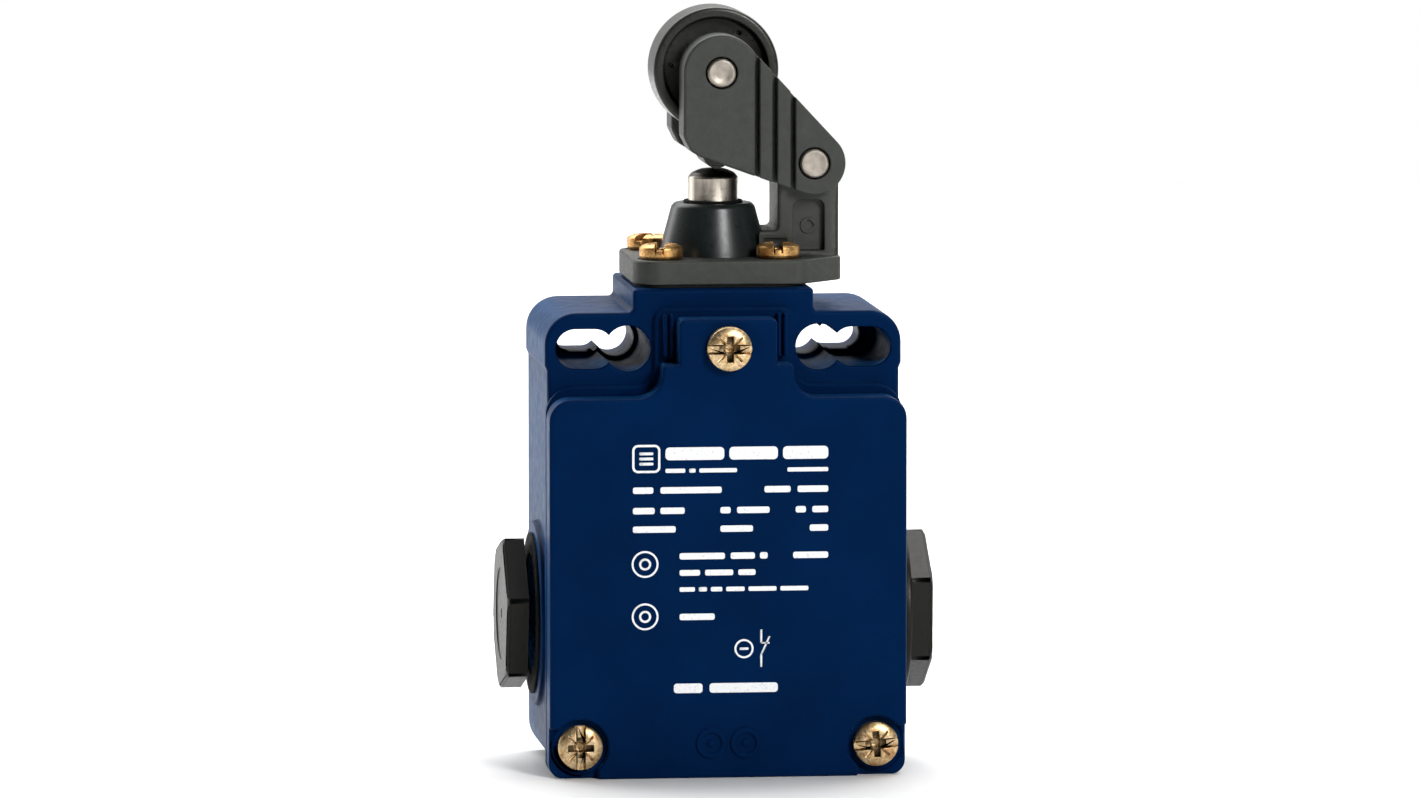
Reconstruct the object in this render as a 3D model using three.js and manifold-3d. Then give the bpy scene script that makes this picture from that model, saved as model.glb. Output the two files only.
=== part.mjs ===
// A metal-cased limit switch with an offset roller lever: a die-cast housing with a screwed cover, two
// blanked cable entries and one open one, a plunger head with its lever bracket, and the contact block
// inside. Millimetres, +Z up. The origin is on the mounting face, midway between the fixing holes;
// +Y points into the machine that the switch is screwed to, so the cover faces -Y.

import * as THREE from "three";
import { mergeVertices } from "three/addons/utils/BufferGeometryUtils.js";
import Module from "manifold-3d";

const wasm = await Module();
wasm.setup();

// ---------------------------------------------------------------- driving dimensions

const GAP = 0.05; // between faces that rest on each other
const CHORD_ERROR = 0.04;
const MAX_ARC_STEP = Math.PI / 6;
const SIMPLIFY = 2e-3; // edges and steps below this are closed up after a cut

// Housing and cover, seen from the front
const HALF_WIDTH = 28;
const BASE_Z = -66.7;
const EAR_TOP_Z = 5.7;
const NECK_HALF_WIDTH = 14.2;
const NECK_TOP_Z = 9.3;
const CASE_CORNER_R = 5;
const FLANGE_CORNER_R = 2.2; // bottom corners of the rim and the cover
const BODY_FRONT_Y = -31;
const RIM_FRONT_Y = -32.3;
const COVER_FRONT_Y = -38.3;
const GASKET_THICKNESS = 0.6;
const COVER_BACK_Y = RIM_FRONT_Y - GASKET_THICKNESS - 2 * GAP;
const COVER_TOP_Z = -7.2;
const COVER_WALL = 2.4;
const TONGUE_HALF_WIDTH = 7.65;
const TONGUE_TOP_Z = 5.15;
const SHOULDER_X = 10.2;
const SHOULDER_Z = -2;
const RIM_TONGUE_X = 10.9;
const RIM_TONGUE_Z = 6.3;
const RIM_TOP_Z = -5.7;

// Cavity
const BACK_WALL_Y = -3;
const CAVITY_X = 25;
const CAVITY_TOP_Z = -9.5;
const CAVITY_BOTTOM_Z = -63.5;
const CORNER_BOSS_X = 18.6;
const CORNER_BOSS_Z = -57.2;

// Fixing holes in the ears: a round hole that runs into a slot, each with a deep counterbore
const HOLE_X = 15;
const HOLE_R = 2.95;
const SLOT_R = 2.25;
const SLOT_X = [19.3, 22];
const COUNTERBORE_HOLE_R = 3.6;
const COUNTERBORE_SLOT_R = 3.1;
const COUNTERBORE_SLOT_X = [20.2, 23.2];
const COUNTERBORE_FLOOR_Y = -11.5;

// Cover screws
const COVER_SCREWS = { top: [0, 0.6], left: [-23.2, -61.7], right: [23.2, -61.7] };
const TAPPED_R = 1.7;
const CLEARANCE_R = 2.2;
const CORNER_LAND_R = 4.4; // the corner screws stand on lands sunk into the cover's face
const CORNER_LAND_X = 20.4;
const CORNER_LAND_Z = -58.8;
const CORNER_LAND_DEPTH = 1.8;

// Cable entries
const ENTRY_Y = -16;
const ENTRY_Z = -43;
const ENTRY_R = 9.25;
const ENTRY_PAD_R = 14.6;
const ENTRY_PAD = 0.5;
const PLUG_HEX_AF = 22;
const PLUG_COLLAR_R = 13;
const PLUG_OUT_X = 33.7;
const PLUG_COLLAR_X = 30.2;
const SEAL_THICKNESS = 1;
const PLUG_THREAD_END_X = 23.5;
const PLUG_TURN = { left: 15, right: 3 }; // degrees that each hexagon's top corner leans to the front

// Head: everything is centred on the plunger's axis
const HEAD_Y = -16.5;
const PLATE_BOTTOM_Z = 9.8;
const PLATE_TOP_Z = 13.6;
const PLATE_HALF = 14;
const PLATE_LEFT_X = -13.8;
const PLATE_RIGHT_X = 19.5;
const PLATE_NOSE_HALF = 6.4;
const PLATE_CORNER_R = 4.3;
const HEAD_SCREW_PITCH = 9.2; // half the spacing, both ways
const HEAD_HOLE_R = 1.9;
const UPRIGHT_X = [9.55, 19.2];
const UPRIGHT_HALF_DEPTH = 6;
const FOOT_X = 6;
const FOOT_TOP_Z = 17.6;
const WINDOW_X = [12, 16.9];
const WINDOW_TOP_Z = 22.4;
const WINDOW_DEPTH = 1.6;

const GUIDE_BOTTOM_Z = 3;
const GUIDE_SPIGOT_R = 8.9;
const GUIDE_FLANGE_R = 10.2;
const GUIDE_FLANGE_Z = [7.1, NECK_TOP_Z - GAP];
const CONE_R = [8.6, 6.5];
const CONE_TOP_Z = 21.7;
const PLUNGER_R = 3.9;
const PLUNGER_BORE_R = 4.1;
const CHAMBER_R = 6.3;
const CHAMBER_TOP_Z = 17;
const PLUNGER_SHOULDER_Z = 25.6;
const PLUNGER_TOP_Z = 27.1;
const PLUNGER_COLLAR_R = 5.8;
const PLUNGER_COLLAR_Z = [15.4, 16.9];
const STEM_R = 2.3;
const STEM_BOTTOM_Z = 0.4;
const NECK_BORE_R = 9.3;
const NECK_SEAT_R = 10.4;

// Lever, roller and pins
const PIVOT = [15, 28.3];
const AXLE = [0, 42.8];
const LEVER_END_R = 4.9;
const LEVER_HEAD_R = 6;
const PIN_R = 2.25;
const PIN_HOLE_R = 2.5;
const FORK_HALF_OUT = 12.35; // half the fork's width at the roller
const FORK_HALF_IN = 5.25;
const EYE_HALF_OUT = 9; // half its width at the pivot
const EYE_HALF_IN = 6.3;
const STEP_X = [5.2, 8.1, 11.1]; // where the cheek steps in, from the roller to the pivot
const JOG_X = 8.1; // where the inside of the fork widens to pass the upright
const ROLLER_R = 9.85;
const ROLLER_HALF_WIDTH = 4.75;
const ROLLER_BORE_R = 2.5;
const NOSE_R = 2.2;
const NOSE_Z = 27.4 + NOSE_R;

// Contact block
const BLOCK_X = 13.5;
const BLOCK_Y = [-26.5, -5.5];
const BLOCK_Z = [-37.6, -11.5];
const BLOCK_SCREW = [10.6, -34.8];
const LUG_FRONT_Y = -9;
const CARRIER_HALF = [2.8, 3.2]; // half its width across X and Y
const CARRIER_Z = [-26.6, -11];
const WELL_Z = [-36.6, -31.2]; // the well that the carrier's spring stands in
const CONTACT_Y = -16.5;
const NC_BRIDGE_Z = -17.2;
const NO_BRIDGE_Z = -21.4;
const BRIDGE_HALF_X = 9.2;
const BRIDGE_HALF_Y = 1.7;
const BRIDGE_THICKNESS = 0.8;
const NC_FIXED_Z = NC_BRIDGE_Z + 1.85;
const NO_FIXED_Z = NO_BRIDGE_Z - 6.4;
const TERMINAL_X = 9.6;
const TERMINAL_Y = -22.4;

// ---------------------------------------------------------------- materials

const material = (color, roughness, metalness) =>
  new THREE.MeshStandardMaterial({ color, roughness, metalness });
const PAINT = () => material(0x0b2350, 0.4, 0.1);
const BLACK_PLASTIC = () => material(0x3c403c, 0.65, 0);
const GLOSS_PLASTIC = () => material(0x14181a, 0.3, 0);
const STEEL = () => material(0xb9b2a6, 0.35, 1);
const YELLOW_ZINC = () => material(0xc2a060, 0.35, 1);
const BRASS = () => material(0xb5934c, 0.35, 1);
const SILVER = () => material(0xc9c9c4, 0.3, 1);
const RUBBER = () => material(0x141414, 0.85, 0);
const INSULATOR = () => material(0xd8d2bd, 0.55, 0);

// ---------------------------------------------------------------- outlines and solids

/** Points round an arc, from one angle to the other in radians, close enough to hold the chord error. */
function arc(x, y, radius, from, to) {
  const step = Math.min(2 * Math.acos(1 - CHORD_ERROR / radius), MAX_ARC_STEP);
  const count = Math.ceil(Math.abs(to - from) / step - 1e-6);
  return Array.from({ length: count + 1 }, (_, i) => {
    const angle = from + ((to - from) * i) / count;
    return new THREE.Vector2(x + radius * Math.cos(angle), y + radius * Math.sin(angle));
  });
}

/** A closed outline through corners [x, y, radius], each rounded by an arc. */
function rounded(corners) {
  const at = (i) => new THREE.Vector2(...corners[(i + corners.length) % corners.length].slice(0, 2));
  const points = corners.flatMap(([, , radius = 0], i) => {
    const corner = at(i);
    if (radius === 0) return [corner];
    const back = at(i - 1).sub(corner).normalize();
    const ahead = at(i + 1).sub(corner).normalize();
    const half = Math.acos(THREE.MathUtils.clamp(back.dot(ahead), -1, 1)) / 2;
    const centre = back.clone().add(ahead).normalize().multiplyScalar(radius / Math.sin(half)).add(corner);
    const start = back.clone().multiplyScalar(radius / Math.tan(half)).add(corner).sub(centre);
    const sweep = (Math.PI - 2 * half) * Math.sign(ahead.cross(back));
    return arc(centre.x, centre.y, radius, start.angle(), start.angle() + sweep);
  });
  return new THREE.Shape(points);
}

/** Corners given for x > 0, from the bottom up, and their mirror images on the other side. */
function mirrored(corners) {
  return [...corners, ...corners.toReversed().map(([x, y, radius]) => [-x, y, radius])];
}

function circle(x, y, radius) {
  return new THREE.Shape(arc(x, y, radius, 0, 2 * Math.PI).slice(1));
}

/** A slot with round ends, whose end arcs are centred at x0 and x1. */
function slot(x0, x1, y, radius) {
  const right = arc(x1, y, radius, -Math.PI / 2, Math.PI / 2);
  const left = arc(x0, y, radius, Math.PI / 2, 1.5 * Math.PI);
  return new THREE.Shape([...right, ...left]);
}

const extrude = (shape, depth) => new THREE.ExtrudeGeometry(shape, { depth, bevelEnabled: false });

/** An outline in X and Z, from one depth to another. */
function alongY(shape, yFront, yBack) {
  return extrude(shape, yBack - yFront).rotateX(Math.PI / 2).translate(0, yBack, 0);
}

/** An outline in X and Y, from one height to another. */
function alongZ(shape, zLow, zHigh) {
  return extrude(shape, zHigh - zLow).translate(0, 0, zLow);
}

/** An outline in Y and Z, from one side to the other. */
function alongX(shape, xLow, xHigh) {
  const turn = new THREE.Matrix4().makeBasis(
    new THREE.Vector3(0, 1, 0),
    new THREE.Vector3(0, 0, 1),
    new THREE.Vector3(1, 0, 0),
  );
  return extrude(shape, xHigh - xLow).applyMatrix4(turn).translate(xLow, 0, 0);
}

function box(x, y, z) {
  return new THREE.BoxGeometry(x[1] - x[0], y[1] - y[0], z[1] - z[0]).translate(
    (x[0] + x[1]) / 2,
    (y[0] + y[1]) / 2,
    (z[0] + z[1]) / 2,
  );
}

/** A body turned about Z from its [radius, height] profile, given from the lowest point up the outside. */
function turned(profile, segments = 24) {
  const points = profile.map(([radius, height]) => new THREE.Vector2(radius, height));
  return new THREE.LatheGeometry(points, segments).rotateX(Math.PI / 2);
}

/** A ring's closed profile, for turned(). */
function ring(inner, outer, low, high) {
  return [
    [inner, low],
    [outer, low],
    [outer, high],
    [inner, high],
    [inner, low],
  ];
}

function solidOf(geometry) {
  const bare = geometry.clone();
  bare.deleteAttribute("normal");
  bare.deleteAttribute("uv");
  const merged = mergeVertices(bare, 1e-4);
  const mesh = new wasm.Mesh({
    numProp: 3,
    vertProperties: merged.attributes.position.array,
    triVerts: new Uint32Array(merged.index.array),
  });
  return new wasm.Manifold(mesh);
}

function geometryOf(solid) {
  const mesh = solid.getMesh();
  return new THREE.BufferGeometry()
    .setAttribute("position", new THREE.BufferAttribute(mesh.vertProperties, 3))
    .setIndex(new THREE.BufferAttribute(mesh.triVerts, 1));
}

/** Joins the first list of geometries and cuts the second list out of them. */
function carve(joined, cut = []) {
  const start = joined.map(solidOf).reduce((a, b) => a.add(b));
  return geometryOf(cut.map(solidOf).reduce((a, b) => a.subtract(b), start).simplify(SIMPLIFY));
}

function part(name, geometry, look) {
  const mesh = new THREE.Mesh(geometry, look);
  mesh.name = name;
  return mesh;
}

// ---------------------------------------------------------------- housing and cover

const coverCorners = (inset = 0) =>
  mirrored([
    [HALF_WIDTH - inset, BASE_Z + inset, FLANGE_CORNER_R - inset],
    [HALF_WIDTH - inset, COVER_TOP_Z - inset, 3.5 - inset],
    [SHOULDER_X - inset, COVER_TOP_Z - inset, 4],
    [SHOULDER_X - inset, SHOULDER_Z - inset, 0.4],
    [TONGUE_HALF_WIDTH - inset, SHOULDER_Z - inset, 0.4],
    [TONGUE_HALF_WIDTH - inset, TONGUE_TOP_Z - inset, 0.8],
  ]);

const cavityCorners = mirrored([
  [CORNER_BOSS_X, CAVITY_BOTTOM_Z, 1],
  [CORNER_BOSS_X, CORNER_BOSS_Z, 2],
  [CAVITY_X, CORNER_BOSS_Z, 1],
  [CAVITY_X, CAVITY_TOP_Z, 3],
]);

function fixingHoles(side) {
  const ends = (pair) => pair.map((x) => side * x).toSorted((a, b) => a - b);
  const front = BODY_FRONT_Y - 1;
  return [
    alongY(circle(side * HOLE_X, 0, HOLE_R), front, 1),
    alongY(slot(...ends(SLOT_X), 0, SLOT_R), front, 1),
    alongY(circle(side * HOLE_X, 0, COUNTERBORE_HOLE_R), front, COUNTERBORE_FLOOR_Y),
    alongY(slot(...ends(COUNTERBORE_SLOT_X), 0, COUNTERBORE_SLOT_R), front, COUNTERBORE_FLOOR_Y),
  ];
}

const headScrewSpots = [-1, 1].flatMap((x) =>
  [-1, 1].map((y) => [x * HEAD_SCREW_PITCH, HEAD_Y + y * HEAD_SCREW_PITCH]),
);

const blockScrewHoles = (radius, yFront, yBack) =>
  [-1, 1].map((side) => alongY(circle(side * BLOCK_SCREW[0], BLOCK_SCREW[1], radius), yFront, yBack));

const coverScrewHoles = (radius, yFront, yBack) =>
  Object.values(COVER_SCREWS).map(([x, z]) => alongY(circle(x, z, radius), yFront, yBack));

function makeHousing() {
  const body = rounded(
    mirrored([
      [HALF_WIDTH, BASE_Z, CASE_CORNER_R],
      [HALF_WIDTH, EAR_TOP_Z, CASE_CORNER_R],
    ]),
  );
  const neck = rounded(
    mirrored([
      [NECK_HALF_WIDTH, 0],
      [NECK_HALF_WIDTH, NECK_TOP_Z, 0.6],
    ]),
  );
  const rim = rounded(
    mirrored([
      [HALF_WIDTH, BASE_Z, FLANGE_CORNER_R],
      [HALF_WIDTH, RIM_TOP_Z, 4.5],
      [RIM_TONGUE_X, RIM_TOP_Z, 3.2],
      [RIM_TONGUE_X, RIM_TONGUE_Z, 1.7],
    ]),
  );
  const pad = circle(ENTRY_Y, ENTRY_Z, ENTRY_PAD_R);
  const entry = circle(ENTRY_Y, ENTRY_Z, ENTRY_R);
  const joined = [
    alongY(body, BODY_FRONT_Y, 0),
    alongY(neck, BODY_FRONT_Y, 0),
    alongY(rim, RIM_FRONT_Y, BODY_FRONT_Y + 1),
    alongX(pad, -HALF_WIDTH - ENTRY_PAD, HALF_WIDTH + ENTRY_PAD),
  ];
  const atHead = (geometry) => geometry.translate(0, HEAD_Y, 0);
  const cut = [
    alongY(rounded(cavityCorners), RIM_FRONT_Y - 1, BACK_WALL_Y),
    atHead(turned([[0, CAVITY_TOP_Z - 1], [NECK_BORE_R, CAVITY_TOP_Z - 1], [NECK_BORE_R, 8], [0, 8]], 32)),
    atHead(turned([[0, 7], [NECK_SEAT_R, 7], [NECK_SEAT_R, 10], [0, 10]], 32)),
    alongX(entry, -HALF_WIDTH - 2, HALF_WIDTH + 2),
    alongZ(circle(0, ENTRY_Y, ENTRY_R), BASE_Z - 1, CAVITY_BOTTOM_Z + 1),
    ...fixingHoles(1),
    ...fixingHoles(-1),
    ...headScrewSpots.map(([x, y]) => alongZ(circle(x, y, TAPPED_R), 4.3, 10)),
    ...coverScrewHoles(TAPPED_R, RIM_FRONT_Y - 1, -26.2),
    ...blockScrewHoles(1.3, LUG_FRONT_Y, BACK_WALL_Y + 0.5),
  ];
  return part("housing", carve(joined, cut), PAINT());
}

function makeCover() {
  const hollow = rounded(
    mirrored([
      [HALF_WIDTH - COVER_WALL - 9, BASE_Z + COVER_WALL, 1],
      [HALF_WIDTH - COVER_WALL - 9, CORNER_BOSS_Z, 2],
      [HALF_WIDTH - COVER_WALL, CORNER_BOSS_Z, 1],
      [HALF_WIDTH - COVER_WALL, COVER_TOP_Z - COVER_WALL, 2],
    ]),
  );
  const front = COVER_FRONT_Y - 1;
  const land = COVER_FRONT_Y + CORNER_LAND_DEPTH;
  const cut = [
    alongY(hollow, COVER_FRONT_Y + COVER_WALL, COVER_BACK_Y + 1),
    ...[COVER_SCREWS.left, COVER_SCREWS.right].flatMap(([x, z]) => {
      const ends = [Math.sign(x) * CORNER_LAND_X, Math.sign(x) * (HALF_WIDTH + 1)];
      return [
        alongY(circle(x, z, CORNER_LAND_R), front, land),
        box(ends.toSorted((p, q) => p - q), [front, land], [BASE_Z - 1, CORNER_LAND_Z]),
      ];
    }),
    ...coverScrewHoles(CLEARANCE_R, front, COVER_BACK_Y + 1),
  ];
  return part("cover", carve([alongY(rounded(coverCorners()), COVER_FRONT_Y, COVER_BACK_Y)], cut), PAINT());
}

function makeCoverGasket() {
  const back = RIM_FRONT_Y - GAP;
  const outer = alongY(rounded(coverCorners(0.5)), back - GASKET_THICKNESS, back);
  const cut = [
    alongY(rounded(cavityCorners), back - GASKET_THICKNESS - 1, back + 1),
    ...coverScrewHoles(CLEARANCE_R, back - GASKET_THICKNESS - 1, back + 1),
  ];
  return part("cover_gasket", carve([outer], cut), RUBBER());
}

/** A pan-head screw with a cross and a slot. The head's seat is at z = 0 and the shank hangs below. */
function screwGeometry({ headR, headHeight, shankR, length, segments = 16 }) {
  const body = turned(
    [
      [0, -length],
      [shankR * 0.7, -length],
      [shankR, -length + shankR * 0.4],
      [shankR, 0],
      [headR, 0],
      [headR, headHeight * 0.65],
      [headR * 0.8, headHeight],
      [0, headHeight],
    ],
    segments,
  );
  const slotHalf = headR * 0.16;
  const crossHalf = headR * 0.52;
  const slotDepth = headHeight * 0.35;
  const crossDepth = headHeight * 0.7;
  const top = headHeight + 1;
  return carve(
    [body],
    [
      box([-headR - 1, headR + 1], [-slotHalf, slotHalf], [headHeight - slotDepth, top]),
      box([-crossHalf, crossHalf], [-slotHalf, slotHalf], [headHeight - crossDepth, top]),
      box([-slotHalf, slotHalf], [-crossHalf, crossHalf], [headHeight - crossDepth, top]),
    ],
  );
}

function makeCoverScrews() {
  const geometry = screwGeometry({ headR: 3.5, headHeight: 2.5, shankR: 1.6, length: 9 });
  const turns = { top: 0, left: 90, right: 5 };
  return Object.entries(COVER_SCREWS).map(([name, [x, z]]) => {
    const land = name === "top" ? 0 : CORNER_LAND_DEPTH;
    const screw = part(`cover_screw_${name}`, geometry, YELLOW_ZINC());
    screw.position.set(x, COVER_FRONT_Y + land - GAP, z);
    screw.rotation.set(Math.PI / 2, 0, THREE.MathUtils.degToRad(turns[name]), "XYZ");
    return screw;
  });
}

// ---------------------------------------------------------------- cable entries

/** A blanking plug lying along +X from the housing's middle, with its thread inside the wall. */
function plugGeometry(turnDegrees) {
  const seal = HALF_WIDTH + ENTRY_PAD + SEAL_THICKNESS + 2 * GAP;
  const along = (profile, segments) => turned(profile, segments).rotateY(Math.PI / 2);
  const collar = along(
    [
      [0, seal],
      [PLUG_COLLAR_R, seal],
      [PLUG_COLLAR_R, PLUG_COLLAR_X],
      [0, PLUG_COLLAR_X],
    ],
    36,
  );
  const thread = along(
    [
      [0, PLUG_THREAD_END_X],
      [8.6, PLUG_THREAD_END_X],
      [ENTRY_R - 0.35, PLUG_THREAD_END_X + 0.6],
      [ENTRY_R - 0.35, seal + 0.2],
      [0, seal + 0.2],
    ],
    32,
  );
  const bore = along(
    [
      [0, PLUG_THREAD_END_X - 1],
      [7, PLUG_THREAD_END_X - 1],
      [7, PLUG_COLLAR_X - 0.5],
      [0, PLUG_COLLAR_X - 0.5],
    ],
    24,
  );
  const corners = Array.from({ length: 6 }, (_, i) => {
    const angle = THREE.MathUtils.degToRad(turnDegrees + 90 + 60 * i);
    const radius = PLUG_HEX_AF / Math.sqrt(3);
    return [radius * Math.cos(angle), radius * Math.sin(angle), 0.4];
  });
  const hexagon = alongX(rounded(corners), PLUG_COLLAR_X - 0.2, PLUG_OUT_X);
  return carve([collar, thread, hexagon], [bore]);
}

function makeEntries() {
  const sealProfile = ring(ENTRY_R + 0.3, PLUG_COLLAR_R - 0.4, 0, SEAL_THICKNESS);
  const pieces = Object.entries({ left: -1, right: 1 }).flatMap(([name, side]) => {
    const plug = part(`blanking_plug_${name}`, plugGeometry(side * PLUG_TURN[name]), BLACK_PLASTIC());
    const seal = part(`plug_seal_${name}`, turned(sealProfile, 32), RUBBER());
    plug.position.set(0, ENTRY_Y, ENTRY_Z);
    plug.rotation.z = side > 0 ? 0 : Math.PI;
    seal.position.set(side * (HALF_WIDTH + ENTRY_PAD + GAP), ENTRY_Y, ENTRY_Z);
    seal.rotation.y = (side * Math.PI) / 2;
    return [plug, seal];
  });
  return pieces;
}

// ---------------------------------------------------------------- head: bracket, guide and plunger

const plateCorners = [
  [PLATE_LEFT_X, -PLATE_HALF, PLATE_CORNER_R],
  [12.6, -PLATE_HALF, 3],
  [PLATE_RIGHT_X, -PLATE_NOSE_HALF, 2.4],
  [PLATE_RIGHT_X, PLATE_NOSE_HALF, 2.4],
  [12.6, PLATE_HALF, 3],
  [PLATE_LEFT_X, PLATE_HALF, PLATE_CORNER_R],
];

function makeBracket() {
  const plate = alongZ(rounded(plateCorners), PLATE_BOTTOM_Z, PLATE_TOP_Z);
  const [left, right] = UPRIGHT_X;
  const low = PLATE_TOP_Z - 0.5;
  const upright = rounded([
    [left, low],
    [right, low],
    [right, PIVOT[1] + 4.2, 4.1],
    [PIVOT[0] - 4.4, PIVOT[1] + 4.2, 4.1],
    [left, PIVOT[1] - 3, 1.5],
  ]);
  const foot = box([FOOT_X, left + 1], [-UPRIGHT_HALF_DEPTH, UPRIGHT_HALF_DEPTH], [low, FOOT_TOP_Z]);
  const clearance = turned([[0, 0], [CONE_R[0] + 0.35, 0], [CONE_R[0] + 0.35, 40], [0, 40]], 40);
  const holes = headScrewSpots.map(([x, y]) => alongZ(circle(x, y - HEAD_Y, HEAD_HOLE_R), 0, 30));
  const counterbores = headScrewSpots.map(([x, y]) => alongZ(circle(x, y - HEAD_Y, 3.7), PLATE_TOP_Z, 16.4));
  const windowShape = rounded([
    [WINDOW_X[0], PLATE_TOP_Z],
    [WINDOW_X[1], PLATE_TOP_Z],
    [WINDOW_X[1], WINDOW_TOP_Z, 1.2],
    [WINDOW_X[0], WINDOW_TOP_Z, 1.2],
  ]);
  const half = UPRIGHT_HALF_DEPTH;
  const windows = [
    alongY(windowShape, -half - 1, -half + WINDOW_DEPTH),
    alongY(windowShape, half - WINDOW_DEPTH, half + 1),
  ];
  const pinHole = alongY(circle(...PIVOT, PIN_HOLE_R), -half - 1, half + 1);
  const geometry = carve(
    [plate, alongY(upright, -half, half), foot],
    [clearance, ...holes, ...counterbores, ...windows, pinHole],
  );
  return part("head_bracket", geometry, BLACK_PLASTIC());
}

function makeHeadGasket() {
  const outline = rounded([
    [PLATE_LEFT_X + 0.4, -PLATE_HALF + 0.4, PLATE_CORNER_R],
    [13.4, -PLATE_HALF + 0.4, PLATE_CORNER_R],
    [13.4, PLATE_HALF - 0.4, PLATE_CORNER_R],
    [PLATE_LEFT_X + 0.4, PLATE_HALF - 0.4, PLATE_CORNER_R],
  ]);
  outline.holes.push(circle(0, 0, NECK_SEAT_R + 0.1));
  outline.holes.push(...headScrewSpots.map(([x, y]) => circle(x, y - HEAD_Y, HEAD_HOLE_R)));
  const gasket = alongZ(outline, NECK_TOP_Z + GAP, PLATE_BOTTOM_Z - GAP);
  return part("head_gasket", gasket, RUBBER());
}

function makeHeadScrews() {
  const geometry = screwGeometry({ headR: 3.4, headHeight: 2.4, shankR: 1.6, length: 8.6 });
  const turns = [20, 75, 95, 40];
  const names = ["rear_left", "front_left", "rear_right", "front_right"];
  const spots = headScrewSpots.map(([x, y]) => [x, y - HEAD_Y]);
  const order = [spots[1], spots[0], spots[3], spots[2]];
  return names.map((name, i) => {
    const screw = part(`head_screw_${name}`, geometry, YELLOW_ZINC());
    screw.position.set(...order[i], PLATE_TOP_Z + GAP);
    screw.rotation.z = THREE.MathUtils.degToRad(turns[i]);
    return screw;
  });
}

function makeGuide() {
  const profile = [
    [CHAMBER_R, GUIDE_BOTTOM_Z],
    [GUIDE_SPIGOT_R, GUIDE_BOTTOM_Z],
    [GUIDE_SPIGOT_R, GUIDE_FLANGE_Z[0]],
    [GUIDE_FLANGE_R, GUIDE_FLANGE_Z[0]],
    [GUIDE_FLANGE_R, GUIDE_FLANGE_Z[1]],
    [CONE_R[0], GUIDE_FLANGE_Z[1]],
    [CONE_R[0], PLATE_TOP_Z],
    [CONE_R[1] + 0.1, CONE_TOP_Z - 0.6],
    [CONE_R[1] - 0.5, CONE_TOP_Z],
    [PLUNGER_BORE_R, CONE_TOP_Z],
    [PLUNGER_BORE_R, CHAMBER_TOP_Z],
    [CHAMBER_R, CHAMBER_TOP_Z],
    [CHAMBER_R, GUIDE_BOTTOM_Z],
  ];
  return part("plunger_guide", turned(profile, 32), GLOSS_PLASTIC());
}

function makePlunger() {
  const dome = [1, 0.85, 0.6, 0.3].map((share) => [
    PLUNGER_R * share,
    PLUNGER_SHOULDER_Z + (PLUNGER_TOP_Z - PLUNGER_SHOULDER_Z) * Math.sqrt(1 - share * share),
  ]);
  const profile = [
    [0, STEM_BOTTOM_Z],
    [STEM_R - 0.5, STEM_BOTTOM_Z],
    [STEM_R, STEM_BOTTOM_Z + 0.5],
    [STEM_R, PLUNGER_COLLAR_Z[0]],
    [PLUNGER_COLLAR_R, PLUNGER_COLLAR_Z[0]],
    [PLUNGER_COLLAR_R, PLUNGER_COLLAR_Z[1]],
    [PLUNGER_R, PLUNGER_COLLAR_Z[1]],
    ...dome,
    [0, PLUNGER_TOP_Z],
  ];
  return part("plunger", turned(profile, 24), STEEL());
}

/** A coil spring standing on z = low, drawn as a closed tube round a helix. */
function springGeometry({ radius, wire, low, high, turns, stepsPerTurn = 12, sides = 6 }) {
  const rise = high - low - wire;
  class Helix extends THREE.Curve {
    getPoint(t, target = new THREE.Vector3()) {
      const angle = 2 * Math.PI * turns * t;
      return target.set(radius * Math.cos(angle), radius * Math.sin(angle), low + wire / 2 + rise * t);
    }
  }
  const section = new THREE.Shape(
    Array.from({ length: sides }, (_, i) => {
      const angle = (2 * Math.PI * i) / sides;
      return new THREE.Vector2((wire / 2) * Math.cos(angle), (wire / 2) * Math.sin(angle));
    }),
  );
  const steps = Math.round(turns * stepsPerTurn);
  return new THREE.ExtrudeGeometry(section, { steps, extrudePath: new Helix(), bevelEnabled: false });
}

function makeHead() {
  const head = new THREE.Group();
  head.position.y = HEAD_Y;
  const wiper = ring(PLUNGER_R + 0.1, 5.1, CONE_TOP_Z + GAP, CONE_TOP_Z + 0.6);
  const retainer = ring(STEM_R + 0.4, CHAMBER_R - 0.15, GUIDE_BOTTOM_Z + 0.3, GUIDE_BOTTOM_Z + 1.5);
  const spring = springGeometry({
    radius: 4.6,
    wire: 0.9,
    low: GUIDE_BOTTOM_Z + 1.6,
    high: PLUNGER_COLLAR_Z[0] - GAP,
    turns: 4.5,
  });
  const diaphragm = ring(STEM_R + 0.3, NECK_BORE_R - 0.3, 1, 2.6);
  head.add(
    makeBracket(),
    makeHeadGasket(),
    ...makeHeadScrews(),
    makeGuide(),
    makePlunger(),
    part("plunger_wiper", turned(wiper, 24), RUBBER()),
    part("plunger_spring", spring, STEEL()),
    part("spring_retainer", turned(retainer, 24), BRASS()),
    part("sealing_diaphragm", turned(diaphragm, 24), RUBBER()),
    makeLever(),
    makeRoller(),
    ...makePins(),
  );
  return head;
}

// ---------------------------------------------------------------- lever, roller and pins

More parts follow.
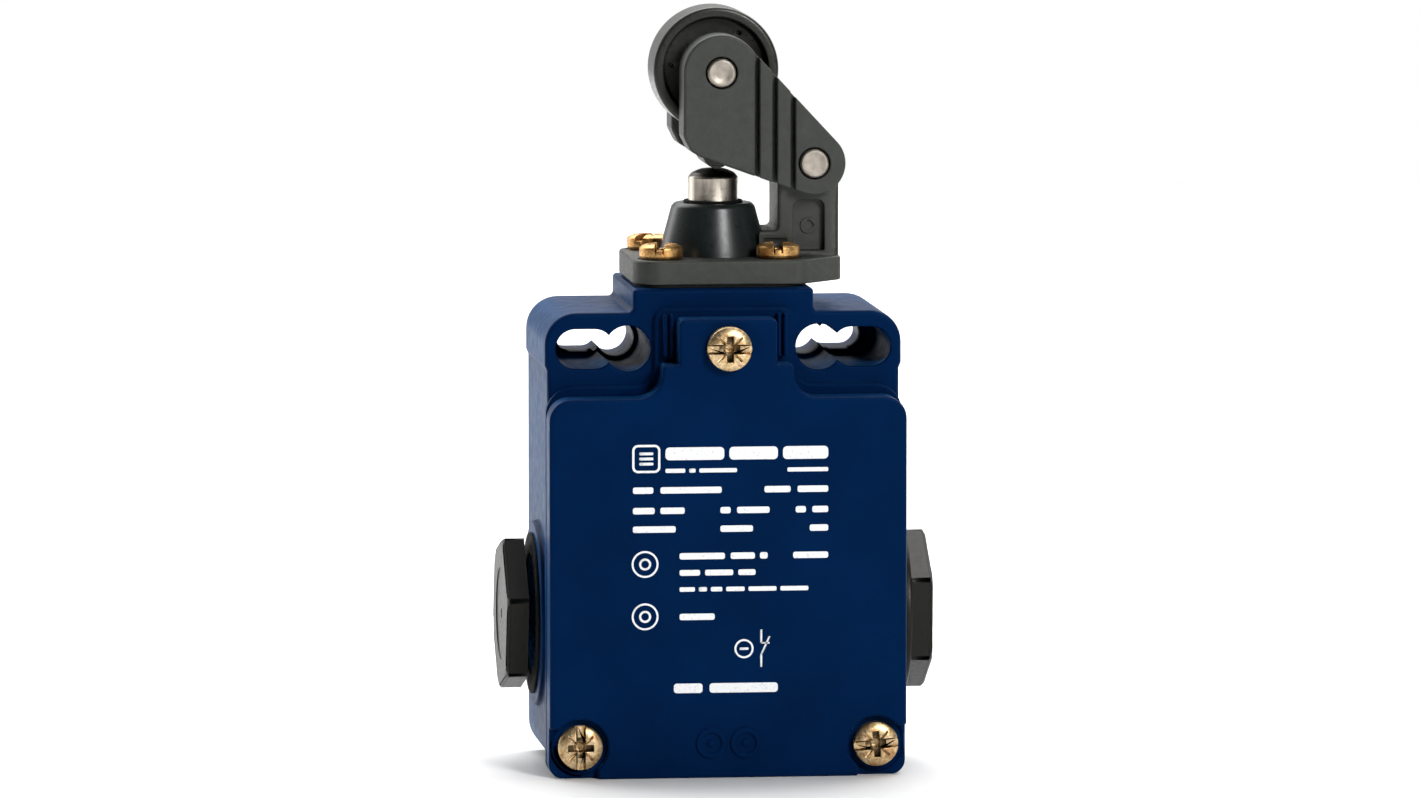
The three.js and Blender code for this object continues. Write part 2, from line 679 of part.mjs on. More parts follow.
/** The cheek's outline in X and Z: the roller's eye and the pivot's eye joined by straight flanks. */
function cheekOutline() {
  const [ax, az] = AXLE;
  const [px, pz] = PIVOT;
  const between = Math.atan2(pz - az, px - ax);
  const lean = Math.asin((LEVER_HEAD_R - LEVER_END_R) / Math.hypot(px - ax, pz - az));
  const upper = between + Math.PI / 2 - lean; // where the upper flank leaves both eyes
  const lower = THREE.MathUtils.degToRad(-110); // where the lower flank leaves the pivot's eye
  const left = ax - LEVER_HEAD_R;
  const head = arc(ax, az, LEVER_HEAD_R, Math.PI, upper);
  const eye = arc(px, pz, LEVER_END_R, upper, lower);
  const flank = [
    [ax - 3.6, az - 13],
    [ax - 4.7, az - 12.2],
    [left + 0.3, az - 10.8],
    [left, az - 9.4],
  ];
  return new THREE.Shape([...head, ...eye, ...flank.map(([x, z]) => new THREE.Vector2(x, z))]);
}

/** The bridge under the roller that ties the cheeks together, with the nose that bears on the plunger. */
function bridgeOutline() {
  const reach = ROLLER_R + 0.8;
  const [ax, az] = AXLE;
  const angleAt = (x) => Math.asin((x - ax) / reach) - Math.PI / 2;
  const saddle = arc(ax, az, reach, angleAt(ax - 4.4), angleAt(7.4));
  const nose = arc(0, NOSE_Z, NOSE_R, -0.5, -Math.PI + 0.5);
  const belly = [
    [7.9, 32.6],
    [7.9, 26.4],
    [3.6, 27.9],
  ];
  return new THREE.Shape([...saddle, ...belly.map(([x, z]) => new THREE.Vector2(x, z)), ...nose]);
}

function makeLever() {
  const outline = cheekOutline();
  const far = 60;
  const step = (FORK_HALF_OUT - EYE_HALF_OUT) / STEP_X.length;
  const cheeks = [-1, 1].map((side) => {
    const [y0, y1] = [side * FORK_HALF_IN, side * FORK_HALF_OUT].toSorted((a, b) => a - b);
    return alongY(outline, y0, y1);
  });
  const steps = STEP_X.flatMap((x, i) =>
    [-1, 1].map((side) => {
      const ends = [side * (FORK_HALF_OUT - (i + 1) * step), side * (FORK_HALF_OUT + 1 + i)];
      return box([x, far + i], ends.toSorted((a, b) => a - b), [-i, far + i]);
    }),
  );
  const bridge = alongY(bridgeOutline(), -FORK_HALF_IN - 0.5, FORK_HALF_IN + 0.5);
  const cut = [
    ...steps,
    alongY(circle(...AXLE, PIN_HOLE_R), -20, 20),
    alongY(circle(...PIVOT, PIN_HOLE_R), -20, 20),
    box([JOG_X, far], [-EYE_HALF_IN, EYE_HALF_IN], [0, far]),
  ];
  return part("lever", carve([...cheeks, bridge], cut), BLACK_PLASTIC());
}

function makeRoller() {
  const half = ROLLER_HALF_WIDTH;
  const webHalf = 1.5;
  const hubR = 4.4;
  const rimR = ROLLER_R - 1.6;
  const profile = [
    [ROLLER_BORE_R, -half],
    [hubR, -half],
    [hubR, -webHalf],
    [rimR, -webHalf],
    [rimR, -half],
    [ROLLER_R - 0.4, -half],
    [ROLLER_R, -half + 0.4],
    [ROLLER_R, half - 0.4],
    [ROLLER_R - 0.4, half],
    [rimR, half],
    [rimR, webHalf],
    [hubR, webHalf],
    [hubR, half],
    [ROLLER_BORE_R, half],
    [ROLLER_BORE_R, -half],
  ];
  const roller = part("roller", turned(profile, 36), BLACK_PLASTIC());
  roller.position.set(AXLE[0], 0, AXLE[1]);
  roller.rotation.x = Math.PI / 2;
  return roller;
}

/** A plain riveted pin with its middle at the origin, lying along Z. */
function pinGeometry(halfLength) {
  return turned(
    [
      [0, -halfLength],
      [PIN_R - 0.35, -halfLength],
      [PIN_R, -halfLength + 0.35],
      [PIN_R, halfLength - 0.35],
      [PIN_R - 0.35, halfLength],
      [0, halfLength],
    ],
    20,
  );
}

function makePins() {
  const place = (name, spot, halfLength) => {
    const pin = part(name, pinGeometry(halfLength), STEEL());
    pin.position.set(spot[0], 0, spot[1]);
    pin.rotation.x = Math.PI / 2;
    return pin;
  };
  return [place("roller_axle", AXLE, FORK_HALF_OUT + 0.3), place("pivot_pin", PIVOT, EYE_HALF_OUT + 0.3)];
}

// ---------------------------------------------------------------- contact block

const terminals = [
  { name: "21", side: -1, z: NC_FIXED_Z },
  { name: "22", side: 1, z: NC_FIXED_Z },
  { name: "13", side: -1, z: NO_FIXED_Z },
  { name: "14", side: 1, z: NO_FIXED_Z },
];

function makeBlockBase() {
  const [front, back] = BLOCK_Y;
  const chamberY = [CONTACT_Y - 4.2, CONTACT_Y + 4.2];
  const shaft = box([-3.4, 3.4], [front + 3, chamberY[1]], [WELL_Z[1], BLOCK_Z[1] + 1]);
  const arcs = box([-11, 11], [CONTACT_Y - 2.6, CONTACT_Y + 2.6], [NO_FIXED_Z - 1, NC_FIXED_Z + 1]);
  const springWell = box([-3, 3], [CONTACT_Y - 3, CONTACT_Y + 3], [WELL_Z[0], WELL_Z[1] + 1]);
  const pockets = terminals.map(({ side, z }) => {
    const x = [side * TERMINAL_X - 3.6, side * TERMINAL_X + 3.6];
    return box(x, [front - 1, TERMINAL_Y + 1], [z - 3.6, z + 3.6]);
  });
  const passages = terminals.map(({ side, z }) => {
    const x = side < 0 ? [-11, -6.2] : [6.2, 11];
    return box(x, [TERMINAL_Y - 1, CONTACT_Y + 2.6], [z - 1, z + 1]);
  });
  const shankHoles = terminals.map(({ side, z }) =>
    alongY(circle(side * TERMINAL_X, z, 1.7), TERMINAL_Y - 1, CONTACT_Y - 2.7),
  );
  const lugHoles = blockScrewHoles(1.7, front - 1, back + 1);
  const lugSteps = [-1, 1].map((side) =>
    box(side < 0 ? [-14, -7.4] : [7.4, 14], [front - 1, LUG_FRONT_Y], [BLOCK_Z[0] - 1, -31.9]),
  );
  return part(
    "block_base",
    carve(
      [box([-BLOCK_X, BLOCK_X], BLOCK_Y, BLOCK_Z)],
      [shaft, arcs, springWell, ...pockets, ...passages, ...shankHoles, ...lugHoles, ...lugSteps],
    ),
    INSULATOR(),
  );
}

function makeCarrier() {
  const [hx, hy] = CARRIER_HALF;
  const window = (z, below, above) => box([-hx - 1, hx + 1], [-2.1, 2.1], [z - below, z + above]);
  const bar = box([-hx, hx], [-hy, hy], CARRIER_Z);
  const root = CARRIER_Z[1] - 1;
  const stem = turned([[0, root], [2.6, root], [2.6, -0.3], [2.2, 0.1], [0, 0.1]], 16);
  const windows = [window(NC_BRIDGE_Z, 3.2, 0.5), window(NO_BRIDGE_Z, 3.4, 0.5)];
  const carrier = part("contact_carrier", carve([bar, stem], windows), GLOSS_PLASTIC());
  carrier.position.y = CONTACT_Y;
  return carrier;
}

function bridgeGeometry() {
  const half = BRIDGE_THICKNESS / 2;
  const strip = box([-BRIDGE_HALF_X, BRIDGE_HALF_X], [-BRIDGE_HALF_Y, BRIDGE_HALF_Y], [-half, half]);
  return strip;
}

/** A contact bridge with a silver button on each end, facing the fixed contacts. */
function makeBridge(name, z, facing) {
  const half = BRIDGE_THICKNESS / 2;
  const tip = BRIDGE_HALF_X - 1.5;
  const button = (x) => {
    const low = facing > 0 ? half - 0.1 : -half - 0.5;
    return turned(ring(0, 1.2, low, low + 0.6).slice(0, 4), 14).translate(x, 0, 0);
  };
  const bridge = part(name, carve([bridgeGeometry(), button(-tip), button(tip)]), BRASS());
  bridge.position.set(0, CONTACT_Y, z);
  return bridge;
}

/** A fixed contact: a strip from the terminal's pocket back to the button beside the carrier. */
function makeFixedContacts() {
  const facing = (z) => (z === NC_FIXED_Z ? -1 : 1);
  return terminals.map(({ name, side, z }) => {
    const strip = box([-1.5, 1.5], [TERMINAL_Y + 0.4, CONTACT_Y + 1.9], [-0.4, 0.4]).translate(
      side * (BRIDGE_HALF_X - 1.5),
      0,
      z,
    );
    const seat = box([-3.2, 3.2], [TERMINAL_Y + 0.1, TERMINAL_Y + 0.9], [-3.2, 3.2]).translate(
      side * TERMINAL_X,
      0,
      z,
    );
    const low = facing(z) > 0 ? 0.3 : -0.9;
    const button = turned(ring(0, 1.2, low, low + 0.6).slice(0, 4), 14).translate(
      side * (BRIDGE_HALF_X - 1.5),
      CONTACT_Y,
      z,
    );
    const hole = alongY(circle(side * TERMINAL_X, z, 1.6), TERMINAL_Y - 1, TERMINAL_Y + 3);
    return part(`fixed_contact_${name}`, carve([strip, seat, button], [hole]), BRASS());
  });
}

function makeTerminals() {
  const screwShape = screwGeometry({ headR: 2.9, headHeight: 1.9, shankR: 1.3, length: 3.4, segments: 14 });
  return terminals.flatMap(({ name, side, z }, i) => {
    const clamp = box([-3, 3], [TERMINAL_Y - 0.95, TERMINAL_Y - 0.05], [-2.9, 2.9]);
    const hole = alongY(circle(0, 0, 1.5), TERMINAL_Y - 2, TERMINAL_Y + 1);
    const plate = part(`clamp_plate_${name}`, carve([clamp], [hole]), SILVER());
    plate.position.set(side * TERMINAL_X, 0, z);
    const screw = part(`terminal_screw_${name}`, screwShape, STEEL());
    screw.position.set(side * TERMINAL_X, TERMINAL_Y - 1, z);
    screw.rotation.set(Math.PI / 2, 0, 0.4 + i, "XYZ");
    return [plate, screw];
  });
}

function makeContactBlock() {
  const group = new THREE.Group();
  const coarse = { stepsPerTurn: 8, sides: 5 };
  const contactCoil = { radius: 1.3, wire: 0.4, turns: 3, ...coarse };
  const carrierEnds = { low: WELL_Z[0] + GAP, high: CARRIER_Z[0] - GAP };
  const springs = {
    carrier_spring: { radius: 2, wire: 0.5, turns: 5, ...carrierEnds, ...coarse },
    nc_bridge_spring: { low: -20.3, high: -17.7, ...contactCoil },
    no_bridge_spring: { low: -24.7, high: -21.9, ...contactCoil },
  };
  const blockScrew = screwGeometry({ headR: 2.7, headHeight: 1.7, shankR: 1.1, length: 5.6, segments: 14 });
  group.add(
    makeBlockBase(),
    makeCarrier(),
    makeBridge("nc_bridge", NC_BRIDGE_Z, 1),
    makeBridge("no_bridge", NO_BRIDGE_Z, -1),
    ...makeFixedContacts(),
    ...makeTerminals(),
  );
  for (const [name, size] of Object.entries(springs)) {
    const spring = part(name, springGeometry(size), STEEL());
    spring.position.y = CONTACT_Y;
    group.add(spring);
  }
  for (const side of [-1, 1]) {
    const screw = part(`block_screw_${side < 0 ? "left" : "right"}`, blockScrew, YELLOW_ZINC());
    screw.position.set(side * BLOCK_SCREW[0], LUG_FRONT_Y - GAP, BLOCK_SCREW[1]);
    screw.rotation.x = Math.PI / 2;
    group.add(screw);
  }
  return group;
}

// ---------------------------------------------------------------- assembly

const limitSwitch = new THREE.Group();
limitSwitch.add(
  makeHousing(),
  makeCoverGasket(),
  makeCover(),
  ...makeCoverScrews(),
  ...makeEntries(),
  makeHead(),
  makeContactBlock(),
);

export default limitSwitch;
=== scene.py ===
"""A limit switch with an offset roller lever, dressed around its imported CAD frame.

Lengths are in millimetres until a mesh is made. The origin is on the mounting face, midway between the
fixing holes, with +X towards the lever's pivot, +Y into the machine and +Z up.
"""

import math

import bmesh
import bpy
from mathutils import Matrix, Vector


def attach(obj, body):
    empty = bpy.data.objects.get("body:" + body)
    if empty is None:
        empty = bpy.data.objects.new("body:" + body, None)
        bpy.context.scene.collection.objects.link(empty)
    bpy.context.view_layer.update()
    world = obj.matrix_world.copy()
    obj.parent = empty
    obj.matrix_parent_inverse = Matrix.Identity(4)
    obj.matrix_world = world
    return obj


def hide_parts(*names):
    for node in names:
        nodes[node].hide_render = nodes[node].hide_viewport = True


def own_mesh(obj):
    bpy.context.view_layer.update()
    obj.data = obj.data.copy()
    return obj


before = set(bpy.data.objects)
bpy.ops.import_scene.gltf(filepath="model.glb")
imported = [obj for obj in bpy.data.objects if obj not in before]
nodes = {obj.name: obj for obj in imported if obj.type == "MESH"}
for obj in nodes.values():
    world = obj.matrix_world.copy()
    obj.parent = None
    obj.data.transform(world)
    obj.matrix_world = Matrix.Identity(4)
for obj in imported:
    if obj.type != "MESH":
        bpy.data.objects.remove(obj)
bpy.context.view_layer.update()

MM = 0.001
ARC_STEP = math.radians(9)  # the coarsest step round an arc

# -------- driving dimensions

HALF_WIDTH = 28.0
BODY_HALF_WIDTH = 27.65
BASE_Z = -66.7
EAR_TOP_Z = 5.7
EAR_FOOT_Z = -2.6
NECK_HALF_WIDTH = 14.2
NECK_TOP_Z = 9.3
CASE_CORNER_R = 5.0
FLANGE_CORNER_R = 2.2
BODY_FRONT_Y = -31.0
RIM_FRONT_Y = -32.3
COVER_FRONT_Y = -38.3
COVER_BACK_Y = -33.0
COVER_TOP_Z = -7.2
TONGUE_HALF_WIDTH = 7.65
TONGUE_TOP_Z = 5.15
SHOULDER = (10.2, -2.0)
RIM_TONGUE = (10.9, 6.3)
RIM_TOP_Z = -5.7
COVER_SCREWS = {"top": (0, 0.6), "left": (-23.2, -61.7), "right": (23.2, -61.7)}
SCREW_TURN = {"top": 0, "left": 90, "right": 5}
LAND_R = 4.4
LAND_X = 20.4
LAND_Z = -58.8
LAND_Y = COVER_FRONT_Y + 1.8
FIXING_HOLES = (  # first X, last X and radius of each opening, then the same for its wide front part
    (15.0, 15.0, 2.95, 15.0, 15.0, 3.6),
    (19.3, 22.0, 2.25, 20.2, 23.2, 3.1),
)
LEDGE_Y = -11.5  # where the wide part ends
PAD_R = 14.6
PAD_FACE_X = 28.5
RIB_X = (9.4, 8.4)
RIB_HALF_WIDTH = 0.27
RIB_Z = (-1.1, 5.6)
RIB_FRONT_Y = -34.4
HEAD_BORE_R = 9.3
HEAD_SEAT = (10.4, 7)  # radius and floor of the bore's wide top
COVER_SKIN = 2.4
MOULD_RINGS = {"x": 2.7, "z": -61.2, "outer_r": 2.4, "inner_r": 1.6, "dot_r": 0.6, "rise": 0.38}

ENTRY = (-16.0, -43.0)
ENTRY_R = 9.25
PLUG_TURN = {"left": 15, "right": 3}
PLUG_FLATS = 22.0
PLUG_COLLAR_R = 13.0
PLUG_COLLAR_X = 30.2
PLUG_OUT_X = 33.65
PLUG_THREAD_END_X = 23.5
PLUG_BORE_R = 7

HEAD_Y = -16.5
PLATE_Z = (9.8, 13.6)
SCREW_PITCH = 9.2
COVER_SCREW = {"head_r": 3.5, "head_h": 2.5, "shank_r": 1.6, "length": 4.9}
HEAD_SCREW = {"head_r": 3.4, "head_h": 2.4, "shank_r": 1.6, "length": 4.2}
SCREW_SUNK = 0.05
UPRIGHT_HALF = 6  # of the upright's thickness, about HEAD_Y
PIVOT = (15.0, 28.3)
AXLE = (0.0, 42.8)
PIN_R = 2.25
PIN_BORE_R = 2.5
CHEEK = (5.25, 12.35)  # inner and outer face of each cheek, from HEAD_Y
ROLLER_R = 9.85
ROLLER_HALF = 4.75
ROLLER_WEB_HALF = 1.5

SPRINGS = {  # mean radius, wire, lowest and highest point, turns, and the slide joint that bears on the coil
    "plunger_spring": (4.6, 0.9, 4.6, 15.35, 6.2, "plunger_slide"),
    "carrier_spring": (2.0, 0.5, -36.55, -26.65, 7.0, "carrier_slide"),
}

# -------- outlines


def arc(cx, cy, radius, start, end, count):
    angles = [start + (end - start) * i / count for i in range(count + 1)]
    return [(cx + radius * math.cos(a), cy + radius * math.sin(a)) for a in angles]


def rounded(corners, inset=0.0, step=ARC_STEP):
    """Points of a counter-clockwise outline through [x, y, radius], drawn in by inset all round.

    Every inset gives the same number of points, so outlines of one shape can be lofted to each other.
    """
    points = []
    count = len(corners)
    for i, (x, y, *rest) in enumerate(corners):
        radius = rest[0] if rest else 0
        here = Vector((x, y))
        into = (here - Vector(corners[i - 1][:2])).normalized()
        out = (Vector(corners[(i + 1) % count][:2]) - here).normalized()
        n_in = Vector((-into.y, into.x))
        n_out = Vector((-out.y, out.x))
        corner = here + (n_in + n_out) * inset / (1 + n_in.dot(n_out))
        turn = math.atan2(into.x * out.y - into.y * out.x, into.dot(out))
        if radius == 0 or abs(turn) < 1e-4:
            points.append((corner.x, corner.y))
            continue
        side = 1 if turn > 0 else -1
        bend = max(radius - side * inset, 0.02)
        reach = bend * math.tan(abs(turn) / 2)
        start = corner - into * reach
        centre = start + n_in * side * bend
        a0 = math.atan2(*(start - centre).yx)
        points += arc(centre.x, centre.y, bend, a0, a0 + turn, max(2, math.ceil(abs(turn) / step)))
    return points


def mirrored(corners):
    """Corners on the right-hand side from the bottom up, then their mirror images from the top down."""
    return corners + [(-x, *rest) for x, *rest in reversed(corners)]


def circle(cx, cy, radius, inset=0.0, count=48):
    return arc(cx, cy, radius - inset, 0, 2 * math.pi, count)[:-1]


def slot(x0, x1, z, radius, inset=0.0, count=16):
    half = math.pi / 2
    right = arc(x1, z, radius - inset, -half, half, count)
    return right + arc(x0, z, radius - inset, half, 3 * half, count)


# -------- solids

PLANES = {
    "x": lambda a, b, h: (h, a, b),
    "y": lambda a, b, h: (a, h, b),
    "z": lambda a, b, h: (a, b, h),
}


def object_from(name, build):
    mesh = bpy.data.meshes.new(name)
    bm = bmesh.new()
    build(bm)
    bmesh.ops.remove_doubles(bm, verts=bm.verts, dist=1e-7)
    bmesh.ops.recalc_face_normals(bm, faces=bm.faces)
    bm.to_mesh(mesh)
    bm.free()
    piece = bpy.data.objects.new(name, mesh)
    bpy.context.collection.objects.link(piece)
    return piece


def loft(rings):
    """A closed solid through rings of 3D points with the same count in each."""

    def build(bm):
        loops = [[bm.verts.new(Vector(p) * MM) for p in ring] for ring in rings]
        for low, high in zip(loops, loops[1:]):
            for i in range(len(low)):
                j = (i + 1) % len(low)
                bm.faces.new((low[i], low[j], high[j], high[i]))
        bm.faces.new(loops[0][::-1])
        bm.faces.new(loops[-1])

    return object_from("solid", build)


def layered(outline, axis, levels):
    """A solid through outline(inset) at each (inset, height) along an axis."""
    place = PLANES[axis]
    return loft([[place(a, b, h) for a, b in outline(inset)] for inset, h in levels])


def edge_levels(end, into, radius, steps=4):
    """Levels of a quarter round from an end's face inwards. A negative radius flares instead."""
    side = 1 if into > end else -1
    levels = []
    for i in range(steps + 1):
        theta = math.pi / 2 * i / steps
        along = side * abs(radius) * (1 - math.cos(theta))
        levels.append((radius * (1 - math.sin(theta)), end + along))
    return levels


def prism(outline, axis, low, high, low_edge=0.0, high_edge=0.0, steps=4):
    """outline(inset) run along an axis, with a rounded or flared edge at either end where asked for."""
    front = edge_levels(low, high, low_edge, steps) if low_edge else [(0, low)]
    rear = edge_levels(high, low, high_edge, steps) if high_edge else [(0, high)]
    return layered(outline, axis, front + rear[::-1])


def mouth(outline, axis, face, floor, radius, floor_radius=0.0):
    """A cutter that starts clear of a face, rounds that face's edge and runs down to a floor."""
    side = 1 if floor > face else -1
    levels = [(-radius, face - side * 3)] + edge_levels(face, floor, -radius)
    levels += edge_levels(floor, face, floor_radius)[::-1] if floor_radius else [(0, floor)]
    return layered(outline, axis, levels)


def shaped(corners, **options):
    return lambda inset=0.0: rounded(corners, inset, **options)


def disc(a, b, radius, count=48):
    return lambda inset=0.0: circle(a, b, radius, inset, count)


def box(x, y, z):
    corners = [(x[0], y[0]), (x[1], y[0]), (x[1], y[1]), (x[0], y[1])]
    return prism(shaped(corners), "z", *z)


def turned(profile, axis="z", centre=(0, 0), segments=72):
    """A body turned about an axis from closed [radius, height, corner radius] corners.

    The corners run up the outside first, and centre is the axis's place in the other two directions.
    """
    points = rounded(profile, step=math.radians(18))
    place = PLANES[axis]

    def build(bm):
        rings = []
        for radius, height in points:
            if radius < 1e-6:
                rings.append([bm.verts.new(Vector(place(*centre, height)) * MM)] * segments)
                continue
            spots = circle(*centre, radius, count=segments)
            rings.append([bm.verts.new(Vector(place(a, b, height)) * MM) for a, b in spots])
        for low, high in zip(rings, rings[1:] + rings[:1]):
            for i in range(segments):
                j = (i + 1) % segments
                quad = [low[i], low[j], high[j], high[i]]
                unique = list(dict.fromkeys(quad))
                if len(unique) > 2:
                    bm.faces.new(unique)

    return object_from("turned", build)


def baked(piece):
    """Applies a piece's modifiers to its mesh."""
    graph = bpy.context.evaluated_depsgraph_get()
    mesh = bpy.data.meshes.new_from_object(piece.evaluated_get(graph))
    piece.modifiers.clear()
    old = piece.data
    piece.data = mesh
    bpy.data.meshes.remove(old)
    return piece


def boolean(piece, others, operation):
    for other in others:
        step = piece.modifiers.new("cut", "BOOLEAN")
        step.operation = operation
        step.solver = "EXACT"
        step.object = other
    bpy.context.view_layer.update()
    baked(piece)
    for other in others:
        bpy.data.objects.remove(other)
    return piece


def join(piece, *others):
    return boolean(piece, others, "UNION")


def cut(piece, *others):
    return boolean(piece, others, "DIFFERENCE")


def common(piece, *others):
    return boolean(piece, others, "INTERSECT")


def soften(piece, width, segments=3, angle=32):
    """Rounds the edges that are sharper than the angle, and bakes the result."""
    bevel = piece.modifiers.new("edges", "BEVEL")
    bevel.width = width * MM
    bevel.segments = segments
    bevel.limit_method = "ANGLE"
    bevel.angle_limit = math.radians(angle)
    bevel.use_clamp_overlap = False
    bevel.miter_outer = "MITER_ARC"
    return baked(piece)


def moved(piece, offset=(0, 0, 0), turn=0.0):
    """Turns a piece's mesh about Z by so many degrees, then shifts it."""
    turning = Matrix.Rotation(math.radians(turn), 4, "Z")
    piece.data.transform(Matrix.Translation(Vector(offset) * MM) @ turning)
    return piece


def copied(piece):
    twin = piece.copy()
    twin.data = piece.data.copy()
    bpy.context.collection.objects.link(twin)
    return twin


def shade(piece):
    piece.data.polygons.foreach_set("use_smooth", [True] * len(piece.data.polygons))
    weigh = piece.modifiers.new("shading", "WEIGHTED_NORMAL")
    weigh.keep_sharp = False
    weigh.weight = 60


def present(piece, name, body, slot_name, material, *replaced):
    """Names a finished piece, gives it its look and hangs it on its CAD body."""
    piece.name = name
    piece.data.name = name
    piece.data.materials.clear()
    piece.data.materials.append(material)
    shade(piece)
    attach(piece, body)
    if replaced:
        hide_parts(*replaced)
    return piece


# -------- materials


class Look:
    """A Principled material with helpers for its nodes. Its textures run in object space, in mm."""

    def __init__(self, name, color, roughness, metallic=0.0, **sockets):
        self.material = bpy.data.materials.new(name)
        self.material.use_nodes = True
        self.tree = self.material.node_tree
        self.shader = self.tree.nodes["Principled BSDF"]
        self.set("Base Color", (*color, 1))
        self.set("Roughness", roughness)
        self.set("Metallic", metallic)
        for socket, value in sockets.items():
            self.set(socket.replace("_", " "), value)
        scale = self.node("ShaderNodeVectorMath", operation="SCALE")
        self.link(self.node("ShaderNodeTexCoord").outputs["Object"], scale.inputs[0])
        scale.inputs["Scale"].default_value = 1 / MM
        self.mm = scale.outputs[0]
        self.height = None

    def set(self, socket, value):
        self.shader.inputs[socket].default_value = value

    def node(self, kind, **settings):
        made = self.tree.nodes.new(kind)
        for key, value in settings.items():
            setattr(made, key, value)
        return made

    def link(self, source, target):
        self.tree.links.new(source, target)

    def stretched(self, x, y, z):
        """The millimetre coordinates, scaled along each axis."""
        mapping = self.node("ShaderNodeVectorMath", operation="MULTIPLY")
        self.link(self.mm, mapping.inputs[0])
        mapping.inputs[1].default_value = (x, y, z)
        return mapping.outputs[0]

    def rings(self, axis, centre):
        """Coordinates that only change with the distance from an axis and the height along it."""
        split = self.node("ShaderNodeSeparateXYZ")
        self.link(self.mm, split.inputs[0])
        across = [i for i in range(3) if i != "xyz".index(axis)]
        flat = self.node("ShaderNodeCombineXYZ")
        for slot_index, (i, middle) in enumerate(zip(across, centre)):
            shift = self.math("SUBTRACT", split.outputs[i], middle)
            self.link(shift, flat.inputs[slot_index])
        length = self.node("ShaderNodeVectorMath", operation="LENGTH")
        self.link(flat.outputs[0], length.inputs[0])
        out = self.node("ShaderNodeCombineXYZ")
        self.link(length.outputs["Value"], out.inputs[0])
        self.link(split.outputs["xyz".index(axis)], out.inputs[1])
        return out.outputs[0]

    def math(self, operation, a, b=0.0, clamp=False):
        made = self.node("ShaderNodeMath", operation=operation, use_clamp=clamp)
        for socket, value in zip(made.inputs, (a, b)):
            if isinstance(value, (int, float)):
                socket.default_value = value
            else:
                self.link(value, socket)
        return made.outputs[0]

    def noise(self, size, detail=3.0, rough=0.55, vector=None, distortion=0.0):
        """Noise whose features are about size millimetres across."""
        made = self.node("ShaderNodeTexNoise")
        made.inputs["Scale"].default_value = 1 / size
        made.inputs["Detail"].default_value = detail
        made.inputs["Roughness"].default_value = rough
        made.inputs["Distortion"].default_value = distortion
        self.link(vector or self.mm, made.inputs["Vector"])
        return made.outputs["Fac"]

    def cells(self, size):
        made = self.node("ShaderNodeTexVoronoi", feature="F1")
        made.inputs["Scale"].default_value = 1 / size
        self.link(self.mm, made.inputs["Vector"])
        return made.outputs["Distance"]

    def slope(self, value, start, steepness):
        """From 0 where value is start up to 1, at so much for each unit."""
        return self.math("MULTIPLY", self.math("SUBTRACT", value, start), steepness, clamp=True)

    def fall(self, value, end, steepness):
        """From 1 down to 0 where value is end."""
        return self.math("MULTIPLY", self.math("SUBTRACT", end, value), steepness, clamp=True)

    def ramp(self, value, *stops):
        """A ramp through (position, grey or colour) stops."""
        made = self.node("ShaderNodeValToRGB")
        elements = made.color_ramp.elements
        while len(elements) < len(stops):
            elements.new(0.5)
        for element, (position, shade_at) in zip(elements, stops):
            rgb = shade_at if isinstance(shade_at, tuple) else (shade_at,) * 3
            element.position = position
            element.color = (*rgb, 1)
        self.link(value, made.inputs[0])
        return made.outputs[0]

    def blend(self, amount, a, b, kind="MIX"):
        made = self.node("ShaderNodeMix", data_type="RGBA", blend_type=kind)
        for socket, value in ((made.inputs[0], amount), (made.inputs[6], a), (made.inputs[7], b)):
            if isinstance(value, tuple):
                socket.default_value = (*value, 1)
            elif isinstance(value, (int, float)):
                socket.default_value = value
            else:
                self.link(value, socket)
        return made.outputs[2]

    def color(self, output):
        self.link(output, self.shader.inputs["Base Color"])

    def roughness(self, value, low, high):
        made = self.node("ShaderNodeMapRange")
        self.link(value, made.inputs["Value"])
        made.inputs["From Min"].default_value = 0.3
        made.inputs["From Max"].default_value = 0.7
        made.inputs["To Min"].default_value = low
        made.inputs["To Max"].default_value = high
        self.link(made.outputs[0], self.shader.inputs["Roughness"])

    def bump(self, value, depth):
        """Adds relief of about depth millimetres."""
        made = self.node("ShaderNodeBump")
        made.inputs["Strength"].default_value = 1.0
        made.inputs["Distance"].default_value = depth * MM
        self.link(value, made.inputs["Height"])
        if self.height is not None:
            self.link(self.height, made.inputs["Normal"])
        self.height = made.outputs[0]
        self.link(self.height, self.shader.inputs["Normal"])


def paint():
    """Navy stoving enamel over a casting: a soft orange peel, a faint casting wave and fine dust."""
    look = Look("navy_enamel", (0.0001, 0.0100, 0.050), 0.4, Specular_IOR_Level=0.08)
    look.set("Sheen Weight", 0.2)
    look.set("Sheen Roughness", 0.3)
    look.set("Sheen Tint", (0.06, 0.38, 1.0, 1))
    look.set("Specular Tint", (0.15, 0.55, 1.0, 1))
    cloud = look.noise(14, 2)
    look.color(look.ramp(cloud, (0.3, (0.0001, 0.0074, 0.040)), (0.7, (0.0001, 0.0104, 0.054))))
    look.roughness(look.noise(1.6, 4), 0.38, 0.5)
    look.bump(look.noise(0.75, 2, 0.4), 0.010)
    look.bump(look.noise(6, 2, 0.4), 0.03)
    specks = look.ramp(look.cells(0.9), (0.0, 1.0), (0.10, 0.0))
    look.bump(specks, 0.005)
    return look.material


